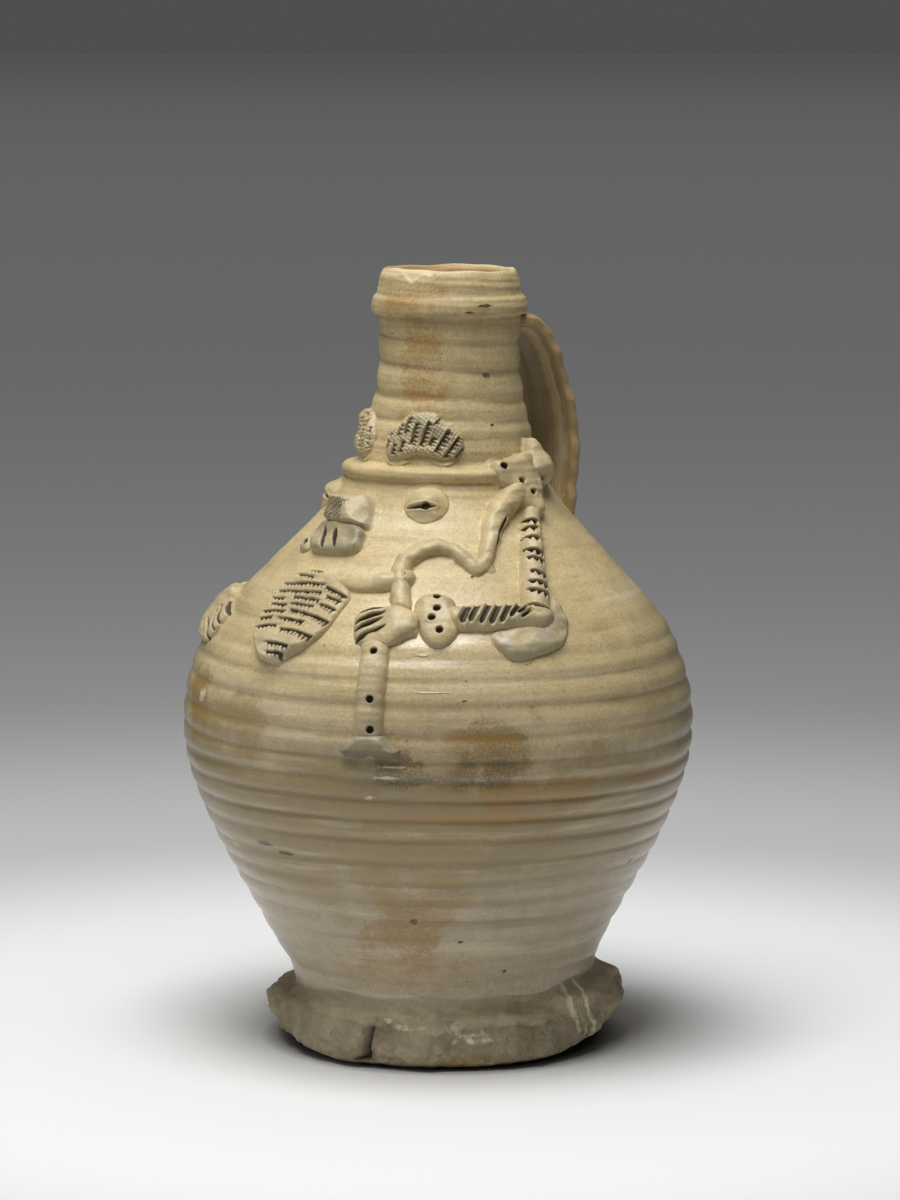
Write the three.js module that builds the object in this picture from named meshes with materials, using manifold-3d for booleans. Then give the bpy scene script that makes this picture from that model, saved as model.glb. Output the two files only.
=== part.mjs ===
// Salt-glazed stoneware face jug, about 1500: a wheel-thrown vessel with a pinched foot, a strap
// handle, and a face and a piping figure's arms laid on in soft clay.
//
// Millimetres, +Z up. The origin is the middle of the flat underside. Angles are in degrees round
// the jug: 0 is the middle of the face, which looks along -Y, and 180 is the handle, along +Y.
// Left and right are the figure's own, so its left arm is at positive angles, towards +X.

import * as THREE from 'three';
import Module from 'manifold-3d';

const wasm = await Module();
wasm.setup();

const { degToRad, radToDeg, clamp, lerp, smoothstep } = THREE.MathUtils;

// Driving dimensions of the thrown wall, from the table up

const BASE_RADIUS = 44.5;
const FOOT_HEIGHT = 26;
const WAIST_RADIUS = 48.5;
const LOWER_BODY_HEIGHT = 75;
const BELLY_RADIUS = 79.8;
const UPPER_BODY_HEIGHT = 37;
const SHOULDER_RADIUS = 66;
const CONE_HEIGHT = 29;
const COLLAR_RADIUS = 38;
const COLLAR_HEIGHT = 14;
const LEDGE_RADIUS = 31.5;
const LEDGE_THICKNESS = 4;
const NECK_FOOT_RADIUS = 27.2;
const NECK_HEIGHT = 43.5;
const NECK_RADIUS = 21.9;
const CORDON_RADIUS = 24;
const CORDON_HEIGHT = 6;
const LIP_HEIGHT = 7.5;
const LIP_RADIUS = 22.4;

const WALL = 5.6;
const NECK_WALL = 4.6;
const FLOOR = 9;

// The soft pot sagged a little before it was fired: the belly to one side, the neck to the other
const NECK_LEAN = 1;
const BELLY_LEAN = 2.4;
const NECK_LEANS_TOWARDS = 141;

// The spiral ridges that the potter's fingers left, on the body and on the neck
const RIDGE_DEPTH = 1.3;
const RIDGE_PITCH_BELOW = 7.4;
const RIDGE_PITCH_ABOVE = 9;
const RIDGE_START_HEIGHT = 30;
const RIDGE_START_ANGLE = 61;
const NECK_RIDGE_DEPTH = 0.7;
const NECK_RIDGE_PITCH = 8.5;

// Laid-on clay keeps this much off what it is pressed to, so that each piece stays its own solid
const SEAT_GAP = 0.35;
const EDGE = 0.7;
const GROWTH_AT_CORNERS = 1.4;

// Facets round the wall, and rows of them behind the foot
const WALL_SEGMENTS = 42;
const FOOT_ROWS = 3;

// Heights of the levels between the stretches of wall

const waistZ = FOOT_HEIGHT;
const bellyZ = waistZ + LOWER_BODY_HEIGHT;
const shoulderZ = bellyZ + UPPER_BODY_HEIGHT;
const collarZ = shoulderZ + CONE_HEIGHT;
const ledgeZ = collarZ + COLLAR_HEIGHT;
const neckFootZ = ledgeZ + LEDGE_THICKNESS;
const cordonFootZ = neckFootZ + NECK_HEIGHT;
const cordonTopZ = cordonFootZ + CORDON_HEIGHT;
const rimZ = cordonTopZ + LIP_HEIGHT;

// Thrown wall

// The outside, from the underside's edge to the lip, as radius and height
function outsideCurve() {
  const path = new THREE.Path();
  path.moveTo(BASE_RADIUS, 0);
  path.bezierCurveTo(
    BASE_RADIUS, waistZ * 0.45,
    WAIST_RADIUS - 2, waistZ * 0.8,
    WAIST_RADIUS, waistZ,
  );
  path.bezierCurveTo(
    lerp(WAIST_RADIUS, BELLY_RADIUS, 0.41), waistZ + LOWER_BODY_HEIGHT * 0.35,
    BELLY_RADIUS, bellyZ - LOWER_BODY_HEIGHT * 0.31,
    BELLY_RADIUS, bellyZ,
  );
  const coneSlope = (SHOULDER_RADIUS - COLLAR_RADIUS) / CONE_HEIGHT;
  const turn = UPPER_BODY_HEIGHT * 0.23;
  path.bezierCurveTo(
    BELLY_RADIUS, bellyZ + UPPER_BODY_HEIGHT * 0.38,
    SHOULDER_RADIUS + turn * coneSlope, shoulderZ - turn,
    SHOULDER_RADIUS, shoulderZ,
  );
  path.lineTo(COLLAR_RADIUS + coneSlope * 2, collarZ - 2);
  path.bezierCurveTo(
    COLLAR_RADIUS - 1, collarZ + 1,
    LEDGE_RADIUS + 2, collarZ + COLLAR_HEIGHT * 0.5,
    LEDGE_RADIUS, ledgeZ - COLLAR_HEIGHT * 0.15,
  );
  path.bezierCurveTo(
    LEDGE_RADIUS + 0.4, ledgeZ + LEDGE_THICKNESS * 0.25,
    NECK_FOOT_RADIUS + 0.8, ledgeZ + LEDGE_THICKNESS * 0.5,
    NECK_FOOT_RADIUS, neckFootZ,
  );
  path.bezierCurveTo(
    NECK_FOOT_RADIUS - 0.8, neckFootZ + NECK_HEIGHT * 0.22,
    NECK_RADIUS, neckFootZ + NECK_HEIGHT * 0.4,
    NECK_RADIUS, neckFootZ + NECK_HEIGHT * 0.72,
  );
  path.quadraticCurveTo(NECK_RADIUS, cordonFootZ - 2, NECK_RADIUS + 0.5, cordonFootZ);
  path.lineTo(CORDON_RADIUS, cordonFootZ + CORDON_HEIGHT * 0.42);
  path.lineTo(CORDON_RADIUS, cordonFootZ + CORDON_HEIGHT * 0.68);
  path.lineTo(LIP_RADIUS + 0.2, cordonTopZ);
  path.lineTo(LIP_RADIUS, rimZ - LIP_HEIGHT * 0.6);
  path.quadraticCurveTo(LIP_RADIUS - 0.5, rimZ - 0.6, LIP_RADIUS - 2, rimZ);
  return path;
}

// The inside, from the mouth down to the middle of the floor
function insideCurve() {
  const bore = NECK_RADIUS - NECK_WALL;
  const path = new THREE.Path();
  path.moveTo(LIP_RADIUS - 4, rimZ - 0.5);
  path.quadraticCurveTo(bore, rimZ - 3, bore, rimZ - 8);
  path.lineTo(bore, neckFootZ + NECK_HEIGHT * 0.4);
  path.quadraticCurveTo(bore + 1, neckFootZ, LEDGE_RADIUS - WALL - 3, ledgeZ - 4);
  path.lineTo(SHOULDER_RADIUS - WALL * 1.35, shoulderZ);
  path.bezierCurveTo(
    BELLY_RADIUS - WALL, bellyZ + UPPER_BODY_HEIGHT * 0.55,
    BELLY_RADIUS - WALL, bellyZ + UPPER_BODY_HEIGHT * 0.3,
    BELLY_RADIUS - WALL, bellyZ,
  );
  path.bezierCurveTo(
    BELLY_RADIUS - WALL, bellyZ - LOWER_BODY_HEIGHT * 0.31,
    lerp(WAIST_RADIUS, BELLY_RADIUS, 0.41) - WALL, waistZ + LOWER_BODY_HEIGHT * 0.35,
    WAIST_RADIUS - WALL * 1.2, waistZ,
  );
  path.quadraticCurveTo(BASE_RADIUS - WALL, FLOOR, BASE_RADIUS - WALL * 2.4, FLOOR);
  return path;
}

const outside = outsideCurve();
const outsideTable = outside.curves.flatMap((curve) => curve.getPoints(24));

// The outside radius at a height, before the ridges are pressed in, read from points along the wall
function radiusAt(height, table = outsideTable) {
  const z = clamp(height, 0, rimZ);
  const next = table.findIndex((point, i) => i > 0 && point.y >= z);
  const above = table[next < 0 ? table.length - 1 : next];
  const below = table[(next < 0 ? table.length - 1 : next) - 1];
  const rise = above.y - below.y;
  return rise > 0 ? lerp(below.x, above.x, (z - below.y) / rise) : above.x;
}

// The wall at a height: its radius, and its normal's share outward and upward. The normal is taken
// over a few millimetres, as a pressed pad of clay would even it out.
function wallAt(height) {
  const reach = 3;
  const drop = radiusAt(height - reach) - radiusAt(height + reach);
  const length = Math.hypot(drop, 2 * reach);
  return { radius: radiusAt(height), outward: (2 * reach) / length, upward: drop / length };
}

// How far the jug's axis has moved aside at a height
function leanAt(height) {
  const neck = NECK_LEAN * smoothstep(height, ledgeZ - 10, ledgeZ + 30);
  const upFromFoot = smoothstep(height, FOOT_HEIGHT * 0.5, FOOT_HEIGHT * 1.4);
  const belly = BELLY_LEAN * upFromFoot * (1 - smoothstep(height, shoulderZ - 20, ledgeZ));
  const towards = degToRad(NECK_LEANS_TOWARDS);
  return new THREE.Vector3(Math.sin(towards), -Math.cos(towards), 0).multiplyScalar(neck - belly);
}

// A point at a distance from the jug's axis
function aboutAxis(angle, radius, height) {
  const turn = degToRad(angle);
  return new THREE.Vector3(radius * Math.sin(turn), -radius * Math.cos(turn), height).add(leanAt(height));
}

// A point on the outside of the wall, lifted off it along the normal
function onWall(angle, height, lift = 0) {
  const { radius, outward, upward } = wallAt(height);
  return aboutAxis(angle, radius + outward * lift, height + upward * lift);
}

// How deep the finger ridges are pressed in at a place on the wall
function ridgeDepth(angle, height) {
  const changeHeight = RIDGE_START_HEIGHT + 8 * RIDGE_PITCH_BELOW;
  const turnsUp = height < changeHeight
    ? (height - RIDGE_START_HEIGHT) / RIDGE_PITCH_BELOW
    : 8 + (height - changeHeight) / RIDGE_PITCH_ABOVE;
  const onBody = smoothstep(height, waistZ, waistZ + 14)
    * (1 - smoothstep(height, shoulderZ - 4, shoulderZ + 9));
  const bodyWave = 0.5 + 0.5 * Math.cos(2 * Math.PI * (turnsUp + (angle - RIDGE_START_ANGLE) / 360));
  const neckTurns = (cordonFootZ - 14.5 - height) / NECK_RIDGE_PITCH;
  const onNeck = smoothstep(height, neckFootZ + 2, neckFootZ + 8)
    * (1 - smoothstep(height, cordonFootZ - 8, cordonFootZ - 3));
  const neckWave = 0.5 + 0.5 * Math.cos(2 * Math.PI * (neckTurns - (angle - RIDGE_START_ANGLE) / 360));
  return RIDGE_DEPTH * onBody * bodyWave + NECK_RIDGE_DEPTH * onNeck * neckWave;
}

// Solids

// Joins rings of points, each with as many points, into one closed solid. The end rings are capped
// at their middles, or joined to each other when the rings themselves go round.
function skin(rings, { goesRound = false, middles = [] } = {}) {
  const count = rings[0].length;
  const points = rings.flat();
  const faces = [];
  const bands = goesRound ? rings.length : rings.length - 1;
  for (let i = 0; i < bands; i += 1) {
    const here = i * count;
    const there = ((i + 1) % rings.length) * count;
    for (let j = 0; j < count; j += 1) {
      const k = (j + 1) % count;
      faces.push([here + j, here + k, there + k], [here + j, there + k, there + j]);
    }
  }
  if (!goesRound) {
    const caps = [[rings[0], 0, true], [rings.at(-1), points.length - count, false]];
    for (const [i, [ring, first, isFirst]] of caps.entries()) {
      const mean = ring.reduce((sum, point) => sum.add(point), new THREE.Vector3()).divideScalar(count);
      points.push(middles[i] ?? mean);
      const centre = points.length - 1;
      for (let j = 0; j < count; j += 1) {
        const a = first + j;
        const b = first + ((j + 1) % count);
        faces.push(isFirst ? [centre, b, a] : [centre, a, b]);
      }
    }
  }
  const volume = faces.reduce((sum, [a, b, c]) => (
    sum + points[a].dot(new THREE.Vector3().crossVectors(points[b], points[c]))
  ), 0);
  return new wasm.Manifold(new wasm.Mesh({
    numProp: 3,
    vertProperties: new Float32Array(points.flatMap((point) => point.toArray())),
    triVerts: new Uint32Array(faces.flatMap(([a, b, c]) => (volume < 0 ? [a, c, b] : [a, b, c]))),
  }));
}

// One ring round the jug
function wallRing(radiusOf, height, segments = WALL_SEGMENTS) {
  return Array.from({ length: segments }, (_, i) => {
    const angle = (i * 360) / segments;
    return aboutAxis(angle, radiusOf(angle), height);
  });
}

// Pads of clay pressed flat on the wall. The outline is in millimetres across and up the wall from
// the pad's middle, and peak is where it stands highest. Roundness 2 is a dome, and more is flatter.
function pad({ angle, height, outline, crown, peak = [0, 0], roundness = 2, sides = 16 }, grow = 0) {
  const climb = wallAt(height).outward;
  const edge = new THREE.CatmullRomCurve3(outline.map(([u, v]) => new THREE.Vector3(u, v, 0)), true)
    .getPoints(sides)
    .slice(0, sides);
  const spot = (point, share, lift) => {
    const stretch = share * (1 + (GROWTH_AT_CORNERS * grow) / Math.max(point.length(), 1));
    const towards = (1 - share) ** 2;
    const z = height + (point.y * stretch + peak[1] * towards) * climb;
    const across = point.x * stretch + peak[0] * towards;
    return onWall(angle + radToDeg(across / wallAt(z).radius), z, lift);
  };
  const place = (share, lift) => edge.map((point) => spot(point, share, lift));
  const seat = SEAT_GAP - 2 * grow;
  const rise = (share) => {
    const dome = (1 - share ** roundness) ** (1 / roundness);
    return SEAT_GAP + EDGE + (crown - EDGE) * dome + grow;
  };
  const middle = new THREE.Vector3();
  return skin(
    [place(0.5, seat), place(1, seat), ...[0.95, 0.72, 0.38].map((share) => place(share, rise(share)))],
    { middles: [spot(middle, 0, seat), spot(middle, 0, rise(0))] },
  );
}

// Coils of clay laid along the wall and pressed on, half round, with round ends. The route is a
// list of angles and heights, and the widths and crowns spread evenly along it.
function coil({ route, widths, crowns, steps = 14, roundEnds = true }, grow = 0) {
  const line = new THREE.CatmullRomCurve3(
    route.map(([angle, height]) => new THREE.Vector3(angle, height, 0)), false, 'centripetal',
  );
  const along = (values, t) => {
    const place = clamp(t, 0, 1) * (values.length - 1);
    const i = Math.min(Math.floor(place), values.length - 2);
    return lerp(values[i], values[i + 1], place - i);
  };
  const sideCount = 6;
  const seat = SEAT_GAP - 2 * grow;
  const rings = [];
  for (let i = 0; i <= steps; i += 1) {
    const t = i / steps;
    const spot = line.getPointAt(t);
    const way = line.getTangentAt(t);
    const here = wallAt(spot.y);
    const forward = new THREE.Vector2(degToRad(way.x) * here.radius, way.y / here.outward).normalize();
    const pushed = grow * (t < 0.5 ? -1 : 1) * Number(i === 0 || i === steps);
    const taper = roundEnds && (i === 0 || i === steps) ? 0.55 : 1;
    const half = (along(widths, t) / 2) * taper + grow;
    const crown = along(crowns, t) * taper + grow;
    const put = (across, lift) => {
      const z = spot.y + (forward.x * across + forward.y * pushed) * here.outward;
      const u = -forward.y * across + forward.x * pushed;
      return onWall(spot.x + radToDeg(u / wallAt(z).radius), z, lift);
    };
    const ring = Array.from({ length: sideCount + 1 }, (_, k) => {
      const turn = (Math.PI * k) / sideCount;
      return put(half * Math.cos(turn), seat + (crown + grow * 2) * Math.sin(turn) ** 0.8);
    });
    rings.push([...ring, put(0, seat)]);
  }
  return skin(rings);
}

// Holes poked with a round stick, square to the wall
function poke(solid, holes, radius, crown) {
  return holes.reduce((left, [angle, height]) => {
    const top = onWall(angle, height, crown + 4);
    const bottom = onWall(angle, height, crown - 2.4);
    const stick = new THREE.CylinderGeometry(radius, radius, top.distanceTo(bottom), 8);
    const upright = new THREE.Vector3(0, 1, 0);
    stick.applyQuaternion(new THREE.Quaternion().setFromUnitVectors(
      upright, top.clone().sub(bottom).normalize(),
    ));
    const middle = top.clone().add(bottom).divideScalar(2);
    stick.translate(middle.x, middle.y, middle.z);
    return left.subtract(solidOf(stick));
  }, solid);
}

// A closed three.js geometry as a solid
function solidOf(geometry) {
  const positions = geometry.getAttribute('position');
  const keys = new Map();
  const points = [];
  const renumbered = [];
  for (let i = 0; i < positions.count; i += 1) {
    const point = new THREE.Vector3().fromBufferAttribute(positions, i);
    const key = point.toArray().map((n) => n.toFixed(4)).join();
    if (!keys.has(key)) {
      keys.set(key, points.length);
      points.push(point);
    }
    renumbered.push(keys.get(key));
  }
  return new wasm.Manifold(new wasm.Mesh({
    numProp: 3,
    vertProperties: new Float32Array(points.flatMap((point) => point.toArray())),
    triVerts: new Uint32Array(Array.from(geometry.index.array, (i) => renumbered[i])),
  }));
}

// What is left of a piece once its neighbours, with their gap, are cut out of it
function cutBy(solid, ...neighbours) {
  const left = neighbours.reduce((rest, neighbour) => rest.subtract(neighbour), solid);
  return left.decompose().reduce((best, part) => (part.volume() > best.volume() ? part : best));
}

// The pieces

// The thrown vessel: wheel-thrown in one piece, with the spiral of finger ridges left on it
function thrownBody() {
  const rowsPerStretch = [FOOT_ROWS, 26, 13, 3, 3, 3, 8, 1, 1, 1, 1, 1, 2];
  const outer = outside.curves.flatMap((curve, i) => curve.getPoints(rowsPerStretch[i]).slice(i ? 1 : 0));
  const inner = insideCurve().curves.flatMap((curve, i) => (
    curve.getPoints(curve.isLineCurve ? 1 : 2 + (i > 3)).slice(i ? 1 : 0)
  ));
  const outerRings = outer.map(({ x, y }) => wallRing((angle) => x - ridgeDepth(angle, y), y));
  const innerRings = inner.map(({ x, y }) => wallRing(() => x, y));
  return skin([...outerRings, ...innerRings]);
}

// The outside as a plain solid one gap larger, to cut what is pressed up against the wall. Its few
// flats touch the round from outside.
function wallCutter() {
  const segments = WALL_SEGMENTS / 2;
  const outward = 1 / Math.cos(Math.PI / segments);
  const rings = outside.curves.flatMap((curve, i) => curve.getPoints(3).slice(i ? 1 : 0))
    .map(({ x, y }) => wallRing(() => (x + SEAT_GAP) * outward, y, segments));
  return skin(rings);
}

// The foot: a coil pinched on round the base with the fingers, lobe by lobe
const FOOT_REACH = 8;
const FOOT_LOBES = 9;
const LOBE_DEPTH = 1.4;
const FOOT_LIFT = 1;
// Where the edge rises off the table: the angle, the height and how far the rise spreads in degrees
const FOOT_RISES = [[132, 6, 34], [-22, 4.6, 26], [-92, 1.8, 18]];

function pinchedFoot() {
  const segments = 45;
  const widest = WAIST_RADIUS + FOOT_REACH;
  const rows = outside.curves[0].getPoints(FOOT_ROWS);
  const sections = Array.from({ length: segments }, (_, i) => {
    const angle = (i * 360) / segments;
    const turn = degToRad(angle);
    const wave = Math.cos(FOOT_LOBES * turn + Math.sin(turn * 2));
    const lobe = LOBE_DEPTH * wave;
    const rise = FOOT_RISES.reduce((sum, [at, high, spread]) => {
      const away = THREE.MathUtils.euclideanModulo(angle - at + 180, 360) - 180;
      return sum + high * Math.exp(-((away / spread) ** 2));
    }, 0);
    const lift = FOOT_LIFT * (0.55 - 0.45 * Math.cos(FOOT_LOBES * turn + 1.6)) + rise;
    const up = (share) => lerp(lift, FOOT_HEIGHT, share);
    const inner = (height) => [radiusAt(height, rows) + SEAT_GAP * 1.3, height];
    return [
      inner(up(0.02)),
      inner(rows[1].y),
      inner(rows[2].y),
      inner(up(0.94)),
      [radiusAt(up(0.96)) + 1.2, up(0.96)],
      [lerp(WAIST_RADIUS, widest, 0.3), up(0.74)],
      [lerp(WAIST_RADIUS, widest, 0.74) + lobe * 0.5, up(0.55)],
      [widest + lobe, up(0.36)],
      [widest - 0.4 + lobe, up(0.22)],
      [widest - 3 + lobe, up(0.06)],
      [widest - 6 + lobe * 0.6, lift],
    ].map(([radius, height]) => aboutAxis(angle, radius, height));
  });
  return skin(sections, { goesRound: true });
}

// The handle: a strap drawn out flat, with finger grooves down its back, luted on under the cordon
// and to the top of the cone
const HANDLE_ANGLE = 180;
const HANDLE_REACH = 44.5;
const HANDLE_WIDTH = 29;
const HANDLE_THICKNESS = 6.4;
const HANDLE_GROOVE = 0.8;

function strapHandle() {
  const middle = HANDLE_REACH - HANDLE_THICKNESS / 2;
  const topZ = cordonFootZ - HANDLE_THICKNESS / 2;
  const line = new THREE.CatmullRomCurve3([
    [NECK_RADIUS - 4, topZ + 0.5],
    [NECK_RADIUS + 1, topZ],
    [lerp(NECK_RADIUS, middle, 0.36), topZ - 4.5],
    [lerp(NECK_RADIUS, middle, 0.64), lerp(topZ, ledgeZ, 0.32)],
    [middle - 2, lerp(topZ, ledgeZ, 0.62)],
    [middle, ledgeZ + 6],
    [middle - 1.2, ledgeZ - 5],
    [middle - 2.2, lerp(ledgeZ, collarZ, 0.9)],
    [middle - 3, collarZ - 7],
    [middle - 5, collarZ - 13],
  ].map(([x, z]) => new THREE.Vector3(x, 0, z)), false, 'centripetal');
  const steps = 20;
  const turn = degToRad(HANDLE_ANGLE);
  const rings = Array.from({ length: steps + 1 }, (_, i) => {
    const t = i / steps;
    const spot = line.getPointAt(t);
    const way = line.getTangentAt(t);
    const flare = 1 + 0.16 * (2 * t - 1) ** 4;
    const half = (HANDLE_WIDTH / 2) * flare;
    const put = (across, out) => {
      const reach = spot.x - way.z * out;
      const height = spot.z + way.x * out;
      const sideways = new THREE.Vector3(Math.cos(turn), Math.sin(turn), 0).multiplyScalar(across);
      return aboutAxis(HANDLE_ANGLE, reach, height).add(sideways);
    };
    const thick = HANDLE_THICKNESS / 2;
    const back = [-0.82, -0.55, -0.28, 0, 0.28, 0.55, 0.82].map((share, k) => (
      put(share * half, thick - (k % 2 ? HANDLE_GROOVE : 0))
    ));
    const front = [0.8, 0, -0.8].map((share) => put(share * half, -thick));
    return [
      ...back,
      put(half, thick * 0.4),
      put(half, -thick * 0.5),
      ...front,
      put(-half, -thick * 0.5),
      put(-half, thick * 0.4),
    ];
  });
  return cutBy(skin(rings), wallCutter());
}

// The face, laid on round angle 0. Heights are measured from the ledge at the foot of the neck.
const BROW = {
  turn: 35,
  rise: 9.5,
  crown: 2,
  outline: [
    [-12.4, -2], [-9.5, 3.5], [-4, 6.6], [5, 5.4], [10, 2],
    [12.6, -1], [7, -5.4], [0, -5.2], [-8, -5.4],
  ],
};
const EYE = { turn: 41.5, drop: 9, crown: 2.9, radius: 6.2, pupil: 1.15 };
const NOSE = {
  turn: 3,
  drop: 14.5,
  crown: 8.4,
  peak: [0, -1.6],
  outline: [
    [0, 9.6], [3.8, 8.6], [6.8, 5.4], [8.8, 0.8], [10, -3], [6.4, -4], [0, -4.4],
    [-6.4, -4], [-10, -3], [-8.8, 0.8], [-6.8, 5.4], [-3.8, 8.6],
  ],
};
const MOUTH = {
  turn: 3,
  drop: 21.4,
  crown: 4.6,
  outline: [
    [-11.4, 1], [-9.4, 4.2], [0, 4.8], [9.4, 4.2], [11.4, 1],
    [9.6, -3.6], [0, -4.2], [-9.6, -3.6],
  ],
};
const BEARD = {
  turn: 9,
  drop: 42,
  crown: 3,
  outline: [
    [-12, 15.5], [1.4, 16.8], [9, 13.4], [16, 9.2], [14.6, 4], [11, -5.4], [5, -13.5], [0, -16],
    [-5, -14.6], [-9, -8.4], [-13, -0.8], [-15.6, 7],
  ],
};

const circle = (radius, sides = 8) => Array.from({ length: sides }, (_, i) => {
  const turn = (i * 2 * Math.PI) / sides;
  return [radius * Math.cos(turn), radius * Math.sin(turn)];
});
const mirrored = (outline) => outline.map(([u, v]) => [-u, v]).reverse();

function brow(side) {
  return pad({
    angle: side * BROW.turn,
    height: ledgeZ + BROW.rise,
    outline: side > 0 ? BROW.outline : mirrored(BROW.outline),
    crown: BROW.crown,
    roundness: 4,
  });
}

function eye(side) {
  const place = [side * EYE.turn, ledgeZ - EYE.drop];
  const pellet = pad({ angle: place[0], height: place[1], outline: circle(EYE.radius), crown: EYE.crown });
  return poke(pellet, [[place[0], place[1] - 1.2]], EYE.pupil, EYE.crown);
}

const nose = (grow) => pad({
  angle: NOSE.turn, height: ledgeZ - NOSE.drop, roundness: 2.2, ...NOSE,
}, grow);
const beard = (grow) => pad({
  angle: BEARD.turn, height: ledgeZ - BEARD.drop, roundness: 4, sides: 24, ...BEARD,
}, grow);
const mouth = () => cutBy(
  pad({ angle: MOUTH.turn, height: ledgeZ - MOUTH.drop, ...MOUTH }), nose(SEAT_GAP), beard(SEAT_GAP),
);

// The arms. Both are laid on alike, and the right one lies a little lower and further forward.
// Turns are degrees from the middle of the face, and drops are below the ledge.
const RIGHT_ARM_FORWARD = 7;
const RIGHT_ARM_DROP = 5;
const ARM_WIDTH = 7.6;
const ARM_CROWN = 5;
const UPPER_ARM = [[99, 11], [95.2, 15], [89.6, 22.5], [84.6, 31], [79.8, 40]];
const FOREARM = [[55, 42.3], [62, 42.2], [69, 42.4], [77.5, 43.3]];
const CUFF = {
  turn: 49.4,
  drop: 41.8,
  crown: 3.6,
  stick: 1.1,
  holes: [[-0.4, -6.4], [-0.8, -2.6], [-2.4, 0.4], [0, 3.8]],
  outline: [
    [0, 9], [5, 6.6], [6, 2], [6.6, -4], [3.4, -8.6],
    [-3.4, -8.6], [-6.6, -4], [-6, 2], [-5, 6.6],
  ],
};
const CAP = {
  turn: 97.3,
  drop: 1.5,
  crown: 4,
  stick: 1.2,
  holes: [[-10.2, -2.4], [1.4, 3.2], [6, 6.9]],
  outline: [
    [-10, 2.5], [-8, 5.4], [-2, 4.6], [3, 6], [7.4, 2],
    [7, -6], [4.4, -10.4], [0, -9.6], [-3, -4], [-7.5, -2],
  ],
};
const HAND = {
  turn: 35,
  drop: 42.8,
  crown: 4.4,
  outline: [
    [-7, 4.5], [-3.5, 6.4], [3, 4.6], [8, 3.2], [12, 2.4],
    [12, -2.6], [6, -3.6], [1, -6.2], [-5, -5], [-7.6, -1],
  ],
};
const ELBOW_WAD = {
  turn: 75.8,
  drop: 46.5,
  crown: 2,
  outline: [
    [-15, 2.5], [-4, 4.6], [6, 10], [11, 15], [13.4, 4],
    [10, -5.6], [3, -8.6], [-5, -8], [-11, -3.6],
  ],
};

function arm(side) {
  const forward = side < 0 ? RIGHT_ARM_FORWARD : 0;
  const lower = side < 0 ? RIGHT_ARM_DROP : 0;
  const at = (turn, drop) => [side * (turn - forward), ledgeZ - drop - lower];
  const padOf = ({ turn, drop, outline, radius, ...rest }) => (grow) => {
    const [angle, height] = at(turn, drop);
    const shape = outline ?? circle(radius);
    return pad({ angle, height, ...rest, outline: side > 0 ? shape : mirrored(shape) }, grow);
  };
  const holesIn = ({ turn, drop, holes }) => holes.map(([u, down]) => at(turn + u, drop + down));
  const capOf = padOf({ ...CAP, roundness: 3 });
  const cuffOf = padOf(CUFF);
  const handOf = padOf({ ...HAND, roundness: 3 });
  const upperOf = (grow) => coil({
    route: UPPER_ARM.map(([turn, drop]) => at(turn, drop)),
    widths: [ARM_WIDTH, ARM_WIDTH - 0.6, ARM_WIDTH - 0.4, ARM_WIDTH],
    crowns: [ARM_CROWN, ARM_CROWN],
    steps: 12,
  }, grow);
  const forearmOf = (grow) => coil({
    route: FOREARM.map(([turn, drop]) => at(turn, drop)),
    widths: [ARM_WIDTH, ARM_WIDTH],
    crowns: [ARM_CROWN, ARM_CROWN],
    steps: 8,
  }, grow);
  return {
    cap: poke(cutBy(capOf(0), wallCutter()), holesIn(CAP), CAP.stick, CAP.crown),
    upper: cutBy(upperOf(0), capOf(SEAT_GAP)),
    forearm: cutBy(forearmOf(0), upperOf(SEAT_GAP), cuffOf(SEAT_GAP)),
    wad: cutBy(padOf({ ...ELBOW_WAD, roundness: 4 })(0), upperOf(SEAT_GAP), forearmOf(SEAT_GAP)),
    cuff: poke(cuffOf(0), holesIn(CUFF), CUFF.stick, CUFF.crown),
    hand: cutBy(handOf(0), cuffOf(SEAT_GAP)),
    grown: { cap: capOf(SEAT_GAP), hand: handOf(SEAT_GAP) },
  };
}

// The pipes: a blowpipe from the beard to the drone's foot, the drone over the arm to the shoulder,
// its bell above, and the chanter that the left hand holds
const DRONE = {
  route: [
    [39.6, 39], [39.8, 29], [42.3, 23.5], [50.8, 20.5], [59.2, 23], [64.6, 27.5], [70.4, 21.5],
    [75.4, 13], [83.2, 6.5], [90.2, 3],
  ],
  widths: [8, 7, 6.6, 7, 8, 7.4, 8],
  crowns: [4, 4.2, 4, 3.4, 4.2, 4.6],
};
const BLOWPIPE = {
  route: [[18, 31], [25, 32], [32, 31], [38.8, 29.5]],
  widths: [3.4, 6, 6.6],
  crowns: [2, 3, 3.6],
};
const CHANTER = {
  route: [[34.2, 42], [35.2, 50], [36, 60], [36.5, 71]],
  widths: [9, 9.4, 9],
  crowns: [4.2, 4, 3.6],
  stick: 1.15,
  holes: [[35.5, 49.8], [36.8, 63], [37.3, 70]],
};
const CHANTER_BELL = {
  turn: 36.4,
  drop: 75.5,
  crown: 4.6,
  outline: [
    [-3.6, 4.2], [3.6, 4.2], [5, 0.6], [7.6, -2.6],
    [4, -3.8], [-4, -3.8], [-7.6, -2.6], [-5, 0.6],
  ],
};
const DRONE_BELL = {
  turn: 117,
  drop: -4,
  crown: 6.4,
  peak: [0, -1.5],
  outline: [[-1.8, 8], [1.6, 6.2], [5.6, 3], [7, -3], [3.6, -7.4], [-3.6, -7.4], [-6.4, -2.4], [-5, 3.2]],
};

const below = (route) => route.map(([turn, drop]) => [turn, ledgeZ - drop]);
const bellOf = ({ turn, drop, ...rest }) => (grow) => (
  pad({ angle: turn, height: ledgeZ - drop, ...rest }, grow)
);

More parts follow.
